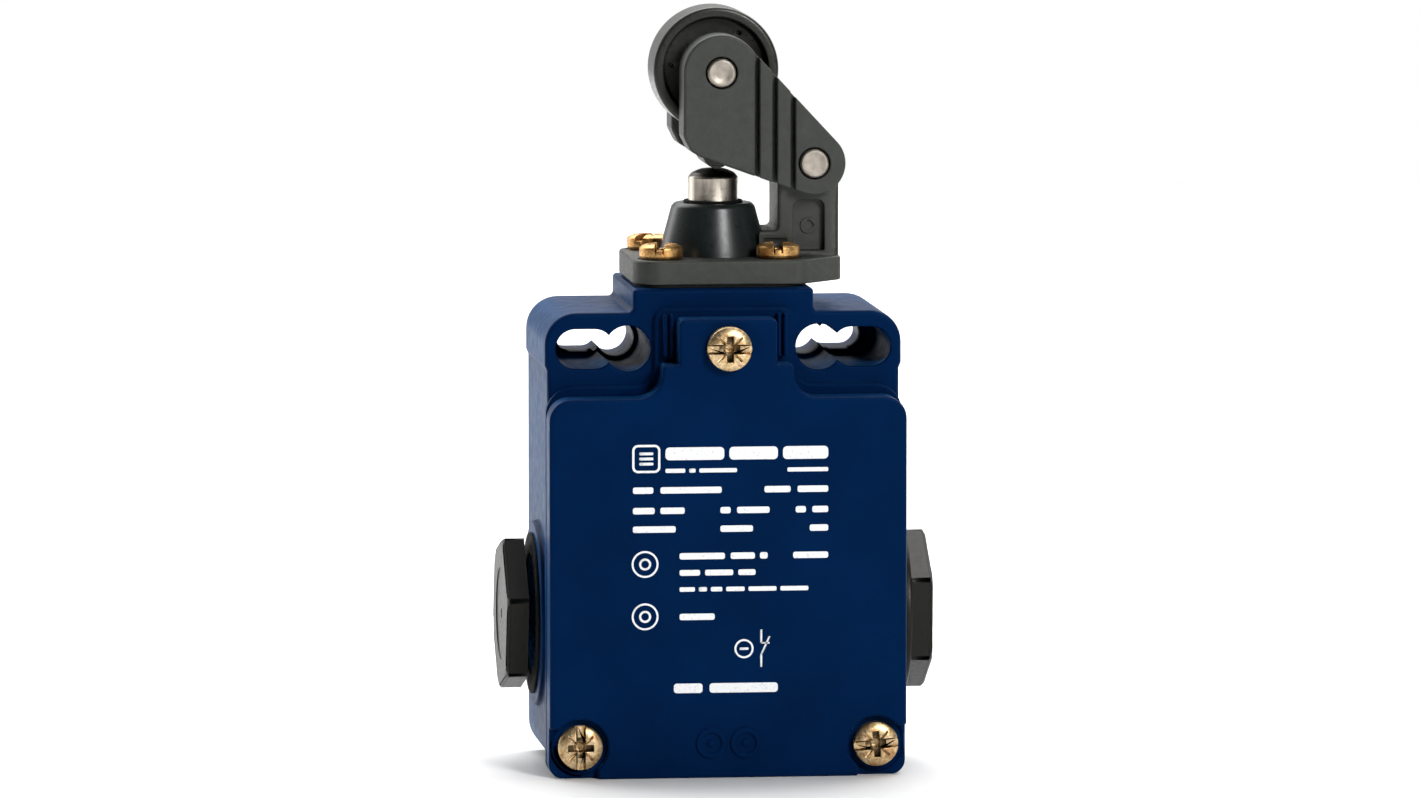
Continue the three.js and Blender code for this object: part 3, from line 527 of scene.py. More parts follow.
def moulded(name="grey_black_moulding", tone=0.028, rough=(0.44, 0.6), grain=0.02, gloss=0.4):
    """Glass-filled moulding: a fine spark-eroded grain with slightly mottled colour."""
    look = Look(name, (tone * 0.92, tone * 1.06, tone), 0.6, Specular_IOR_Level=gloss)
    mottle = look.noise(2.2, 5, 0.65)
    low = (tone * 0.75, tone * 0.88, tone * 0.82)
    high = (tone * 1.1, tone * 1.26, tone * 1.16)
    look.color(look.ramp(mottle, (0.3, low), (0.72, high)))
    look.set("Specular Tint", (1.0, 0.96, 0.88, 1))
    look.roughness(look.noise(0.7, 4), *rough)
    look.bump(look.noise(0.16, 3, 0.6), grain)
    look.bump(look.noise(1.3, 3, 0.5), grain * 0.6)
    return look.material


def polished_moulding():
    """The guide's smooth black moulding, with faint turning marks from its tool and fine scuffs."""
    look = Look("gloss_black_moulding", (0.010, 0.013, 0.013), 0.25, Specular_IOR_Level=0.4)
    look.color(look.ramp(look.noise(5, 3), (0.3, (0.007, 0.010, 0.010)), (0.7, (0.013, 0.017, 0.017))))
    look.roughness(look.noise(0.9, 5, 0.7), 0.26, 0.36)
    look.bump(look.noise(0.5, 2, 0.5, look.rings("z", (0, HEAD_Y))), 0.004)
    look.bump(look.noise(0.9, 2), 0.006)
    return look.material


LEVER_REFLECTION_Z = 25.55  # where the painted dark reflection of the lever on the plunger's dome begins


def drawn_steel():
    """The plunger: bright ground steel with soft streaks down it, and a painted dark reflection of the
    lever on its dome.
    """
    look = Look("plunger_steel", STEEL_LIGHT, 0.34, 1.0)
    streaks = look.noise(1.1, 3, 0.6, look.stretched(1, 1, 0.12))
    tint = look.ramp(streaks, (0.34, STEEL_DARK), (0.6, STEEL_LIGHT))
    height = look.node("ShaderNodeSeparateXYZ")
    look.link(look.mm, height.inputs[0])
    # Painted reflection: above this height the dome is coloured near black, for the lever's dark
    # underside mirrored in it.
    lever_reflection = look.slope(height.outputs[2], LEVER_REFLECTION_Z, 2.5)
    look.color(look.blend(lever_reflection, tint, (0.035, 0.032, 0.03)))
    look.roughness(look.noise(0.6, 4), 0.26, 0.4)
    look.bump(look.noise(0.2, 3, 0.6, look.stretched(1, 1, 0.1)), 0.003)
    look.bump(look.noise(0.12, 3), 0.0015)
    return look.material


def turned_metal(name, dark, light, axis, centre, rough=(0.2, 0.36)):
    """Metal off a lathe: fine rings round its axis and a faint stain."""
    look = Look(name, light, 0.3, 1.0)
    rings = look.noise(0.09, 4, 0.6, look.rings(axis, centre))
    stain = look.noise(1.7, 4, 0.6)
    mixed = look.math("ADD", look.math("MULTIPLY", rings, 0.25), look.math("MULTIPLY", stain, 0.75))
    look.color(look.ramp(mixed, (0.36, dark), (0.62, light)))
    look.roughness(rings, *rough)
    look.bump(rings, 0.0035)
    look.bump(look.noise(0.12, 3), 0.0015)
    return look.material


PASSIVATION = (  # the colours that its patches run through, from rose to straw and back
    (0.3, (0.46, 0.22, 0.09)),
    (0.43, (0.60, 0.41, 0.19)),
    (0.58, (0.72, 0.55, 0.30)),
    (0.70, (0.62, 0.33, 0.19)),
)


def passivated(name, axis, centre, top, side, cast=(1, 1, 1)):
    """Yellow-passivated zinc: straw to rose patches over pressed steel, with a fine grime and painted
    shade darkening its recess.

    top is the head's highest point along its axis, side the direction from there into the head, and
    cast colours the whole head.
    """
    look = Look(name, (0.6, 0.43, 0.2), 0.36, 1.0)
    patches = look.noise(1.6, 4, 0.6, distortion=0.5)
    stops = [(at, tuple(map(math.prod, zip(rgb, cast)))) for at, rgb in PASSIVATION]
    tint = look.ramp(patches, *stops)
    grime = look.ramp(look.noise(0.35, 5, 0.7), (0.34, 0.45), (0.56, 1.0))
    # Painted shade: the recess below the head's top, between radius 0.5 and 2.7 from the axis, is
    # blended towards dark brown.
    polar = look.node("ShaderNodeSeparateXYZ")
    look.link(look.rings(axis, centre), polar.inputs[0])
    depth = look.math("MULTIPLY", look.math("SUBTRACT", polar.outputs[1], top), side)
    below = look.slope(depth, 0.9, 1.6)
    inside = look.fall(polar.outputs[0], 2.7, 3.0)
    outside = look.slope(polar.outputs[0], 0.5, 1.6)
    recess_shade = look.math("MULTIPLY", below, look.math("MULTIPLY", inside, outside))
    grimy_tint = look.blend(1.0, tint, grime, "MULTIPLY")
    look.color(look.blend(look.math("MULTIPLY", recess_shade, 0.88), grimy_tint, (0.05, 0.035, 0.02)))
    look.roughness(look.noise(0.4, 4), 0.3, 0.48)
    look.bump(look.noise(0.1, 3, 0.5, look.rings(axis, centre)), 0.004)
    look.bump(look.noise(0.25, 3), 0.006)
    return look.material


def rubber():
    look = Look("black_rubber", (0.006, 0.0065, 0.0065), 0.8, Specular_IOR_Level=0.15)
    look.color(look.ramp(look.noise(1.5, 4), (0.3, 0.003), (0.7, 0.006)))
    look.roughness(look.noise(0.5, 3), 0.7, 0.9)
    look.bump(look.noise(0.12, 3), 0.01)
    return look.material


def ink():
    """White pad-printed ink, slightly thin in places and a little raised."""
    look = Look("white_ink", (0.82, 0.83, 0.84), 0.55)
    thin = look.noise(0.35, 4, 0.65)
    look.color(look.ramp(thin, (0.3, (0.55, 0.58, 0.63)), (0.46, (0.84, 0.85, 0.86))))
    look.roughness(look.noise(0.3, 3), 0.45, 0.65)
    look.bump(look.noise(0.2, 3), 0.006)
    return look.material


def plain_metal(name, dark, light, along="x"):
    """Rolled strip with its grain along one axis."""
    look = Look(name, light, 0.35, 1.0)
    scale = [6.0, 6.0, 6.0]
    scale["xyz".index(along)] = 0.5
    grain = look.noise(1.0, 4, 0.6, look.stretched(*scale))
    look.color(look.ramp(grain, (0.35, dark), (0.65, light)))
    look.roughness(grain, 0.24, 0.42)
    look.bump(grain, 0.004)
    return look.material


def insulator():
    look = Look("ivory_thermoset", (0.62, 0.57, 0.43), 0.5)
    look.color(look.ramp(look.noise(1.2, 5, 0.7), (0.3, (0.52, 0.47, 0.34)), (0.7, (0.68, 0.63, 0.49))))
    look.roughness(look.noise(0.5, 4), 0.4, 0.6)
    look.bump(look.noise(0.2, 3), 0.01)
    return look.material


def floor_look():
    look = Look("pale_floor", (0.86, 0.86, 0.86), 0.7)
    look.color(look.ramp(look.noise(60, 3), (0.3, 0.85), (0.7, 0.88)))
    look.bump(look.noise(3, 3), 0.05)
    return look.material


PAINT = paint()
MOULDED = moulded()
ROLLER_LOOK = moulded("black_roller_moulding", 0.016, (0.26, 0.4), 0.006)
PLUG_LOOK = moulded("plug_moulding", 0.005, (0.34, 0.46), 0.012, 0.22)
GLOSS = polished_moulding()
RUBBER = rubber()
INK = ink()
INSULATOR = insulator()
STEEL_DARK = (0.42, 0.38, 0.33)
STEEL_LIGHT = (0.78, 0.70, 0.60)
PIN_DARK = (0.25, 0.225, 0.19)
PIN_LIGHT = (0.42, 0.38, 0.33)
PLUNGER_STEEL = drawn_steel()
AXLE_STEEL = turned_metal("axle_steel", PIN_DARK, PIN_LIGHT, "y", AXLE, (0.36, 0.52))
PIVOT_STEEL = turned_metal("pivot_steel", PIN_DARK, PIN_LIGHT, "y", PIVOT, (0.4, 0.55))
SPRING_STEEL = plain_metal("spring_steel", (0.3, 0.29, 0.28), (0.55, 0.54, 0.52), "z")
BRASS = plain_metal("rolled_brass", (0.5, 0.34, 0.12), (0.78, 0.6, 0.28), "y")
SILVER = plain_metal("plated_strip", (0.5, 0.5, 0.48), (0.75, 0.74, 0.72), "x")

# -------- housing


def head_screw_places():
    ways = (-SCREW_PITCH, SCREW_PITCH)
    return [(x, HEAD_Y + away) for x in ways for away in ways]


def fixing_hole_cutters(side):
    """A round hole and a slot beside it, each widened from the front."""
    cutters = []
    for x0, x1, radius, wide_x0, wide_x1, wide_radius in FIXING_HOLES:
        narrow = fixing_outline(*sorted((side * x0, side * x1)), radius)
        wide = fixing_outline(*sorted((side * wide_x0, side * wide_x1)), wide_radius)
        cutters.append(prism(narrow, "y", LEDGE_Y - 2.5, 2))
        cutters.append(mouth(wide, "y", BODY_FRONT_Y, LEDGE_Y, 0.35, 0.4))
    return cutters


def fixing_outline(x0, x1, radius):
    if x0 == x1:
        return disc(x0, 0, radius, 40)
    return lambda inset=0.0: slot(x0, x1, 0, radius, inset)


def make_housing():
    half = BODY_HALF_WIDTH
    body = mirrored(
        [
            (half, BASE_Z + 0.1, CASE_CORNER_R),
            (half, EAR_FOOT_Z - 0.8, 0.6),
            (HALF_WIDTH, EAR_FOOT_Z, 0.6),
            (HALF_WIDTH, EAR_TOP_Z, CASE_CORNER_R),
            (NECK_HALF_WIDTH, EAR_TOP_Z, 0.8),
            (NECK_HALF_WIDTH, NECK_TOP_Z, 0.7),
        ]
    )
    rim = mirrored(
        [
            (HALF_WIDTH, BASE_Z + 0.02, FLANGE_CORNER_R),
            (HALF_WIDTH, RIM_TOP_Z, 4.5),
            (RIM_TONGUE[0], RIM_TOP_Z, 3.2),
            (*RIM_TONGUE, 1.7),
        ]
    )
    housing = prism(shaped(body), "y", BODY_FRONT_Y, 0, 0.7, 0.5, steps=5)
    add = [
        prism(shaped(rim), "y", RIM_FRONT_Y, BODY_FRONT_Y + 0.9, 0.3, 0.3),
    ]
    for side in (-1, 1):
        wall, face = side * (BODY_HALF_WIDTH - 0.02), side * PAD_FACE_X
        levels = edge_levels(wall, face, -0.35) + edge_levels(face, wall, 0.4)[::-1]
        add.append(layered(disc(*ENTRY, PAD_R, 96), "x", [(-0.35, side * 22)] + levels))
        for x in RIB_X:
            left, right = sorted((side * (x - RIB_HALF_WIDTH), side * (x + RIB_HALF_WIDTH)))
            low, high = RIB_Z
            spots = ((left, low), (right, low), (right, high), (left, high))
            bead = [(*spot, RIB_HALF_WIDTH - 0.01) for spot in spots]
            add.append(prism(shaped(bead, step=math.radians(30)), "y", RIB_FRONT_Y, -31.5, 0.24))
    join(housing, *add)
    cavity = mirrored([(18.6, -63.5, 1), (18.6, -57.2, 2), (25, -57.2, 1), (25, -9.5, 3)])
    seat_r, seat_z = HEAD_SEAT
    head_bore = [(0, -12), (HEAD_BORE_R, -12), (HEAD_BORE_R, seat_z)]
    head_bore += [(seat_r, seat_z), (seat_r, 12), (0, 12)]
    bores = [prism(disc(x, y, 1.7, 24), "z", 4.3, 11) for x, y in head_screw_places()]
    cut(
        housing,
        prism(shaped(cavity), "y", -36, -3),
        turned(head_bore, centre=(0, HEAD_Y)),
        prism(disc(*ENTRY, ENTRY_R, 72), "x", -31, 31),
        mouth(disc(0, ENTRY[0], ENTRY_R, 72), "z", BASE_Z, -62, 0.5),
        *bores,
        *fixing_hole_cutters(1),
        *fixing_hole_cutters(-1),
    )
    present(housing, "housing_casting", "case", "case_paint", PAINT, "housing")


# -------- cover


def mould_ring(x, z):
    """A low raised ring round a dot, such as a mould insert leaves."""
    size = MOULD_RINGS
    foot, top = COVER_FRONT_Y + 0.3, COVER_FRONT_Y - size["rise"]
    ring = prism(disc(x, z, size["outer_r"], 64), "y", top, foot, 0.1)
    cut(ring, mouth(disc(x, z, size["inner_r"], 64), "y", top, foot + 0.7, 0.1))
    return join(ring, prism(disc(x, z, size["dot_r"], 32), "y", top + 0.03, foot, 0.1))


def make_cover():
    corners = mirrored(
        [
            (HALF_WIDTH, BASE_Z, FLANGE_CORNER_R),
            (HALF_WIDTH, COVER_TOP_Z, 3.5),
            (SHOULDER[0], COVER_TOP_Z, 4),
            (*SHOULDER, 0.5),
            (TONGUE_HALF_WIDTH, SHOULDER[1], 0.5),
            (TONGUE_HALF_WIDTH, TONGUE_TOP_Z, 0.9),
        ]
    )
    cover = prism(shaped(corners), "y", COVER_FRONT_Y, COVER_BACK_Y, 0.5, 0.25, steps=6)
    lands = []
    for name in ("left", "right"):
        x, z = COVER_SCREWS[name]
        side = 1 if x > 0 else -1
        well = prism(disc(x, z, LAND_R, 64), "y", -40, LAND_Y)
        corner = [(LAND_X, -70), (31, -70), (31, LAND_Z), (LAND_X, LAND_Z, 1.2)]
        if side < 0:
            corner = [(-a, b, *rest) for a, b, *rest in reversed(corner)]
        lands.append(join(well, prism(shaped(corner), "y", -40.01, LAND_Y - 0.002)))
    cut(cover, *lands)
    hollow = mirrored([(16.6, -64.3, 1), (16.6, -57.2, 2), (25.6, -57.2, 1), (25.6, -9.6, 2)])
    cut(cover, prism(shaped(hollow), "y", COVER_FRONT_Y + COVER_SKIN, -30))
    soften(cover, 0.35, 3)
    join(cover, *[mould_ring(side * MOULD_RINGS["x"], MOULD_RINGS["z"]) for side in (-1, 1)])
    cut(cover, *[prism(disc(x, z, 2.2, 32), "y", -42, -30) for x, z in COVER_SCREWS.values()])
    present(cover, "cover_casting", "case", "case_paint", PAINT, "cover")


# -------- print on the cover


def printed(name, outlines, thickness=0.03, inner=()):
    """Flat shapes of ink on the cover's face. inner holds outlines to leave bare."""
    face = COVER_FRONT_Y
    shapes = [prism(outline, "y", face - thickness, face + 0.02) for outline in outlines]
    first = join(shapes[0], *shapes[1:]) if len(shapes) > 1 else shapes[0]
    if inner:
        cut(first, *[prism(outline, "y", face - 1, face + 1) for outline in inner])
    moved(first, (PRINT_OFFSET[0], 0, PRINT_OFFSET[1]))
    return present(first, name, "case", "case_paint", INK)


def bar(x0, x1, z, height):
    r = height * 0.3
    low, high = z - height / 2, z + height / 2
    return shaped([(x0, low, r), (x1, low, r), (x1, high, r), (x0, high, r)], step=math.radians(30))


PRINT_OFFSET = (0.5, 2.05)  # across and up, from the places below
PRINT_WORDS = {  # each line's place up the cover, its bars' height, and each bar's left and right end
    "title": (-17.85, 2.0, [(-10.4, -1.2), (-0.4, 7.2), (8.0, 15.1)]),
    "subtitle": (-20.5, 0.65, [(-10.4, -7.3), (-6.7, -5.7), (-5.1, 0.8), (8.7, 15.1)]),
    "line_1": (-23.55, 1.0, [(-15.5, -12.3), (-11.2, -1.6), (5.1, 9.2), (10.3, 15.1)]),
    "line_2": (
        -26.75,
        1.0,
        [(-15.5, -12.1), (-11.2, -7.4), (-1.8, -0.2), (0.8, 5.9), (10.0, 11.6), (12.6, 15.1)],
    ),
    "line_3": (-29.65, 1.0, [(-15.5, -8.8), (-1.8, 3.3), (12.2, 15.1)]),
    "line_4": (-33.9, 1.0, [(-8.2, -1.1), (-0.2, 3.6), (4.4, 5.6), (9.6, 15.1)]),
    "line_5": (-36.5, 0.9, [(-8.2, -5.0), (-4.2, 0.2), (1.0, 3.7)]),
    "line_6": (
        -39.1,
        0.7,
        [(-8.2, -5.8), (-5.2, -3.9), (-3.3, -1.5), (-0.9, 2.0), (2.6, 7.0), (7.6, 12.0)],
    ),
    "line_7": (-43.4, 1.0, [(-8.2, -2.7)]),
    "footer": (-54.6, 1.5, [(-9.1, -4.6), (-3.5, 7.2)]),
}


def make_print():
    for name, (z, height, words) in PRINT_WORDS.items():
        printed(f"print_{name}", [bar(x0, x1, z, height) for x0, x1 in words])

    badge_x, badge_z = -13.4, -18.6

    def square(size, radius):
        west, east, south, north = badge_x - size, badge_x + size, badge_z - size, badge_z + size
        spots = ((west, south), (east, south), (east, north), (west, north))
        return shaped([(*spot, radius) for spot in spots])

    printed("print_badge", [square(2.2, 0.9)], inner=[square(1.85, 0.6)])
    bars = [bar(badge_x - 1.1, badge_x + 1.1, badge_z + up, 0.45) for up in (0.8, 0, -0.8)]
    printed("print_badge_bars", bars)
    x = -13.6
    for name, z in (("upper", -35.1), ("lower", -43.3)):
        printed(f"print_ring_{name}", [disc(x, z, 2.1)], inner=[disc(x, z, 1.8)])
        printed(f"print_ring_dot_{name}", [disc(x, z, 0.95)], inner=[disc(x, z, 0.6)])
    make_contact_symbol()


def make_contact_symbol():
    """The usual circuit symbol of a switched contact beside a plain ringed bar."""
    x, z = 1.9, -48.5
    printed("print_small_ring", [disc(x, z, 1.5)], inner=[disc(x, z, 1.2)])
    printed("print_small_bar", [bar(x - 0.7, x + 0.7, z, 0.4)])
    x = 4.6
    half = 0.15
    strokes = {
        "lower": [(x - half, -51.4), (x + half, -51.4), (x + half, -49.3), (x - half, -49.3)],
        "upper": [(x - half, -47.6), (x + half, -47.6), (x + half, -45.5), (x - half, -45.5)],
        "blade": [(x - half, -49.4), (x + half, -49.4), (x + 1.45, -46.6), (x + 1.15, -46.6)],
        "foot": [(x, -47.75), (x + 1.3, -47.75), (x + 1.3, -47.5), (x, -47.5)],
    }
    for name, corners in strokes.items():
        printed(f"print_contact_{name}", [shaped(corners)])


# -------- screws


def pan_screw(head_r, head_h, shank_r, length):
    """A flat pan head with a cross recess, a slot and four witness marks, standing on z = 0."""
    profile = [
        (0, -length),
        (shank_r * 0.7, -length),
        (shank_r, -length + shank_r * 0.5),
        (shank_r, 0),
        (head_r - 0.15, 0, 0.1),
        (head_r, head_h * 0.2, 0.2),
        (head_r, head_h * 0.76, head_h * 0.18),
        (head_r * 0.72, head_h * 0.96, head_r * 0.5),
        (0, head_h),
    ]
    screw = turned(profile, segments=96)
    wide = head_r * 0.15
    top = head_h + 1
    clear = head_r + 1
    slot_half = head_r * 0.21
    groove = 0.2
    slot_cut = box((-clear, clear), (-slot_half, slot_half), (head_h * 0.58, top))
    for side in (-1, 1):
        corner = sorted((side * slot_half, side * (slot_half - groove)))
        join(slot_cut, box((-clear - 0.1, clear + 0.1), corner, (head_h * 0.36, top + 0.1)))
    arms = []
    for x, y, floor in ((head_r * 0.46, wide, 0.2), (wide, head_r * 0.58, 0.051)):
        arms.append(box((-x, x), (-y, y), (head_h * floor, top)))
    heart = turned([(0, -0.5), (head_r * 0.22, -0.3), (head_r * 0.31, top), (0, top)], segments=24)
    marks = []
    for quarter in range(4):
        mark = box((head_r * 0.32, head_r * 0.76), (-0.13, 0.13), (head_h * 0.74, top))
        marks.append(moved(mark, turn=45 + 90 * quarter))
    cut(screw, slot_cut, *arms, heart, *marks)
    return soften(screw, 0.07, 2, 38)


def make_cover_screws():
    master = pan_screw(**COVER_SCREW)
    cast = (1.08, 1.08, 1.15)
    for name, (x, z) in COVER_SCREWS.items():
        seat = COVER_FRONT_Y if name == "top" else LAND_Y
        foot = seat - SCREW_SUNK
        screw = moved(copied(master), turn=SCREW_TURN[name])
        screw.data.transform(Matrix.Rotation(math.radians(90), 4, "X"))
        moved(screw, (x, foot, z))
        top = foot - COVER_SCREW["head_h"]
        look = passivated(f"passivated_cover_{name}", "y", (x, z), top, 1, cast)
        node = f"cover_screw_{name}"
        present(screw, f"cover_screw_head_{name}", "case", "yellow_passivated", look, node)
    bpy.data.objects.remove(master)


def make_head_screws():
    master = pan_screw(**HEAD_SCREW)
    cast = (1.12, 0.88, 0.62)
    foot = PLATE_Z[1] + SCREW_SUNK
    spots = {  # side, front or rear, and how far the slot is turned
        "front_left": (-1, -1, 78),
        "front_right": (1, -1, 84),
        "rear_left": (-1, 1, 55),
        "rear_right": (1, 1, 95),
    }
    for name, (side_x, side_y, turn) in spots.items():
        x, y = side_x * SCREW_PITCH, HEAD_Y + side_y * SCREW_PITCH
        screw = moved(copied(master), (x, y, foot), turn)
        top = foot + HEAD_SCREW["head_h"]
        look = passivated(f"passivated_head_{name}", "z", (x, y), top, -1, cast)
        node = f"head_screw_{name}"
        present(screw, f"head_screw_head_{name}", "case", "yellow_passivated", look, node)
    bpy.data.objects.remove(master)


# -------- cable entries


def plug_hexagon(turn):
    """The plug's six-sided head, with its outer corners chamfered and a shallow dish in its face."""
    radius = PLUG_FLATS / math.sqrt(3)
    corners = []
    for i in range(6):
        angle = math.radians(turn + 90 + 60 * i)
        spot = (ENTRY[0] + radius * math.cos(angle), ENTRY[1] + radius * math.sin(angle))
        corners.append((*spot, 0.9))
    hexagon = prism(shaped(corners), "x", PLUG_COLLAR_X - 0.1, PLUG_OUT_X, -0.3, 0.45)
    chamfer = turned([(0, 29), (14, 29), (14, 32.5), (10.2, 34.5), (0, 34.5)], "x", ENTRY, 96)
    soften(common(hexagon, chamfer), 0.2, 3)
    return cut(hexagon, mouth(disc(*ENTRY, 7.2, 72), "x", PLUG_OUT_X, PLUG_OUT_X - 0.2, 0.15))


def make_plugs():
    nub_x = PLUG_OUT_X - 0.08
    nub = [(0, 32.9), (0.9, 32.9), (0.8, nub_x, 0.1), (0, nub_x)]
    base = [
        (PLUG_BORE_R, PLUG_THREAD_END_X, 0.2),
        (8.6, PLUG_THREAD_END_X, 0.2),
        (8.9, 24.1),
        (8.9, 29),
        (PLUG_COLLAR_R, 29, 0.25),
        (PLUG_COLLAR_R, PLUG_COLLAR_X, 0.4),
        (0, PLUG_COLLAR_X),
        (0, 28.6),
        (PLUG_BORE_R, 28.6),
    ]
    seal = [(9.6, 28.55), (12.7, 28.55, 0.2), (12.7, 29, 0.15), (9.6, 29)]
    for name, turn in PLUG_TURN.items():
        plug = join(plug_hexagon(turn), turned(nub, "x", ENTRY, 32), turned(base, "x", ENTRY, 120))
        ring = turned(seal, "x", ENTRY, 96)
        if name == "left":
            for piece in (plug, ring):
                piece.data.transform(Matrix.Scale(-1, 4, (1, 0, 0)))
                piece.data.flip_normals()
        present(plug, f"plug_{name}", "case", "black_plastic", PLUG_LOOK, f"blanking_plug_{name}")
        present(ring, f"plug_ring_{name}", "case", "rubber", RUBBER, f"plug_seal_{name}")


# -------- head


def make_bracket():
    """The plate under the head with the upright that carries the lever's pivot."""
    y = HEAD_Y
    outline = [
        (-13.8, y - 14, 4.3),
        (12.6, y - 14, 3),
        (19.5, y - 6.4, 2.4),
        (19.5, y + 6.4, 2.4),
        (12.6, y + 14, 3),
        (-13.8, y + 14, 4.3),
    ]
    bracket = prism(shaped(outline), "z", *PLATE_Z, 0.3, 0.45)
    upright = [
        (19.2, 12),
        (19.2, 32.5, 4.1),
        (10.6, 32.5, 4.1),
        (9.55, 25.3, 1.5),
        (9.55, 17.6, 0.8),
        (6, 17.6, 0.8),
        (6, 12),
    ]
    thickness = (y - UPRIGHT_HALF, y + UPRIGHT_HALF)
    join(bracket, prism(shaped(upright), "y", *thickness, 0.6, 0.6, steps=5))
    cuts = [turned([(0, 5), (8.95, 5), (8.95, 40), (0, 40)], centre=(0, y), segments=96)]
    window = [(12, 14.4, 0.3), (16.9, 14.4, 0.3), (16.9, 22.4, 1.2), (12, 22.4, 1.2)]
    for side in (-1, 1):
        face, floor = y + side * UPRIGHT_HALF, y + side * (UPRIGHT_HALF - 1.6)
        cuts.append(mouth(shaped(window), "y", face, floor, 0.2, 0.3))
        cuts.append(mouth(disc(*PIVOT, PIN_BORE_R), "y", face, y, 0.15))
    for spot in head_screw_places():
        cuts.append(prism(disc(*spot, 1.9, 32), "z", 5, 20))
        cuts.append(prism(disc(*spot, 3.7), "z", PLATE_Z[1] - 0.15, 16.4))
    cut(bracket, *cuts)
    middle = (14.5, 18.2)
    for side in (-1, 1):
        ends = sorted((y + side * 4.2, y + side * 4.65))
        ring = prism(disc(*middle, 1.25), "y", *ends, 0.08, 0.08)
        join(bracket, cut(ring, prism(disc(*middle, 0.8), "y", y - 9, y + 9)))
    present(bracket, "bracket_moulding", "case", "black_plastic", MOULDED, "head_bracket")


def make_guide():
    profile = [
        (6.3, 3),
        (8.9, 3, 0.3),
        (8.9, 7.1),
        (10.2, 7.1),
        (10.2, 9.25),
        (8.6, 9.25),
        (8.6, 13.6),
        (6.55, 21.2, 0.9),
        (6.0, 21.7, 0.4),
        (4.1, 21.7, 0.2),
        (4.1, 17),
        (6.3, 17),
    ]
    guide = turned(profile, centre=(0, HEAD_Y), segments=96)
    present(guide, "guide_cone", "case", "guide_plastic", GLOSS, "plunger_guide")
    wiper = turned(
        [(4.0, 21.75, 0.05), (4.7, 21.75, 0.05), (4.6, 22.1, 0.12), (4.0, 22.1, 0.1)],
        centre=(0, HEAD_Y),
    )
    present(wiper, "wiper_lip", "case", "rubber", RUBBER, "plunger_wiper")


def make_plunger():
    profile = [
        (0, 0.4),
        (1.8, 0.4),
        (2.3, 0.9),
        (2.3, 15.4),
        (5.8, 15.4, 0.3),
        (5.8, 16.9, 0.3),
        (3.9, 16.9),
        (3.9, 25.7, 0.5),
        (3.3, 26.4, 0.9),
        (1.9, 27.0, 3.0),
        (0, 27.1),
    ]
    plunger = turned(profile, centre=(0, HEAD_Y), segments=96)
    present(plunger, "plunger_pin", "plunger_rod", "steel", PLUNGER_STEEL, "plunger")


def coil(radius, wire, low, high, turns):
    """A spring of round wire in the plunger's line, whose end turns lie on each other."""
    steps, sides = round(turns * 32), 14
    end_rise = wire * 1.04
    pitch = (high - low - wire - 2 * end_rise) / (turns - 2)
    rings = []
    for i in range(steps + 1):
        turn = turns * i / steps
        in_ends = min(turn, 1) + max(turn - turns + 1, 0)
        between = min(max(turn - 1, 0), turns - 2)
        middle = low + wire / 2 + end_rise * in_ends + pitch * between
        angle = 2 * math.pi * turn
        ring = []
        for across, up in circle(radius, middle, wire / 2, count=sides):
            ring.append((across * math.cos(angle), HEAD_Y + across * math.sin(angle), up))
        rings.append(ring)
    return loft(rings)


def make_springs():
    for name, (radius, wire, low, high, turns, joint) in SPRINGS.items():
        piece = coil(radius, wire, low, high, turns)
        present(piece, f"{name}_coil", "case", "steel", SPRING_STEEL, name)
        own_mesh(piece)


def cheek_outline():
    """One cheek of the fork: a round head, a smaller round eye, a straight flank and a long belly."""
    (ax, az), (px, pz) = AXLE, PIVOT
    head_r, eye_r = 6.0, 4.9
    between = math.atan2(pz - az, px - ax)
    lean = math.asin((head_r - eye_r) / math.hypot(px - ax, pz - az))
    upper = between + math.pi / 2 - lean
    last = math.radians(-110)

    def outline(inset=0.0):
        eye = arc(px, pz, eye_r - inset, last, upper, 30)
        head = arc(ax, az, head_r - inset, upper, math.pi, 24)
        belly_start = (px + eye_r * math.cos(last), pz + eye_r * math.sin(last))
        guides = [
            (px + 30, pz - 30),
            (px + 30, az + 30),
            (ax - head_r, az + 30),
            (ax - head_r, az - 10.0, 1.5),
            (ax - 4.9, az - 12.2, 1.5),
            (ax - 3.4, az - 13.1, 1.5),
            belly_start,
        ]
        corner_points = rounded(guides, inset)
        return eye + head + corner_points[3:-1]

    return outline


LEVER_STEPS = ((5.2, 11.25), (8.1, 10.15), (11.1, 9.0))  # how far out each cheek stands beyond each X
STEP_GROOVE = (0.85, 1.7)  # width and depth of the groove at the foot of each step


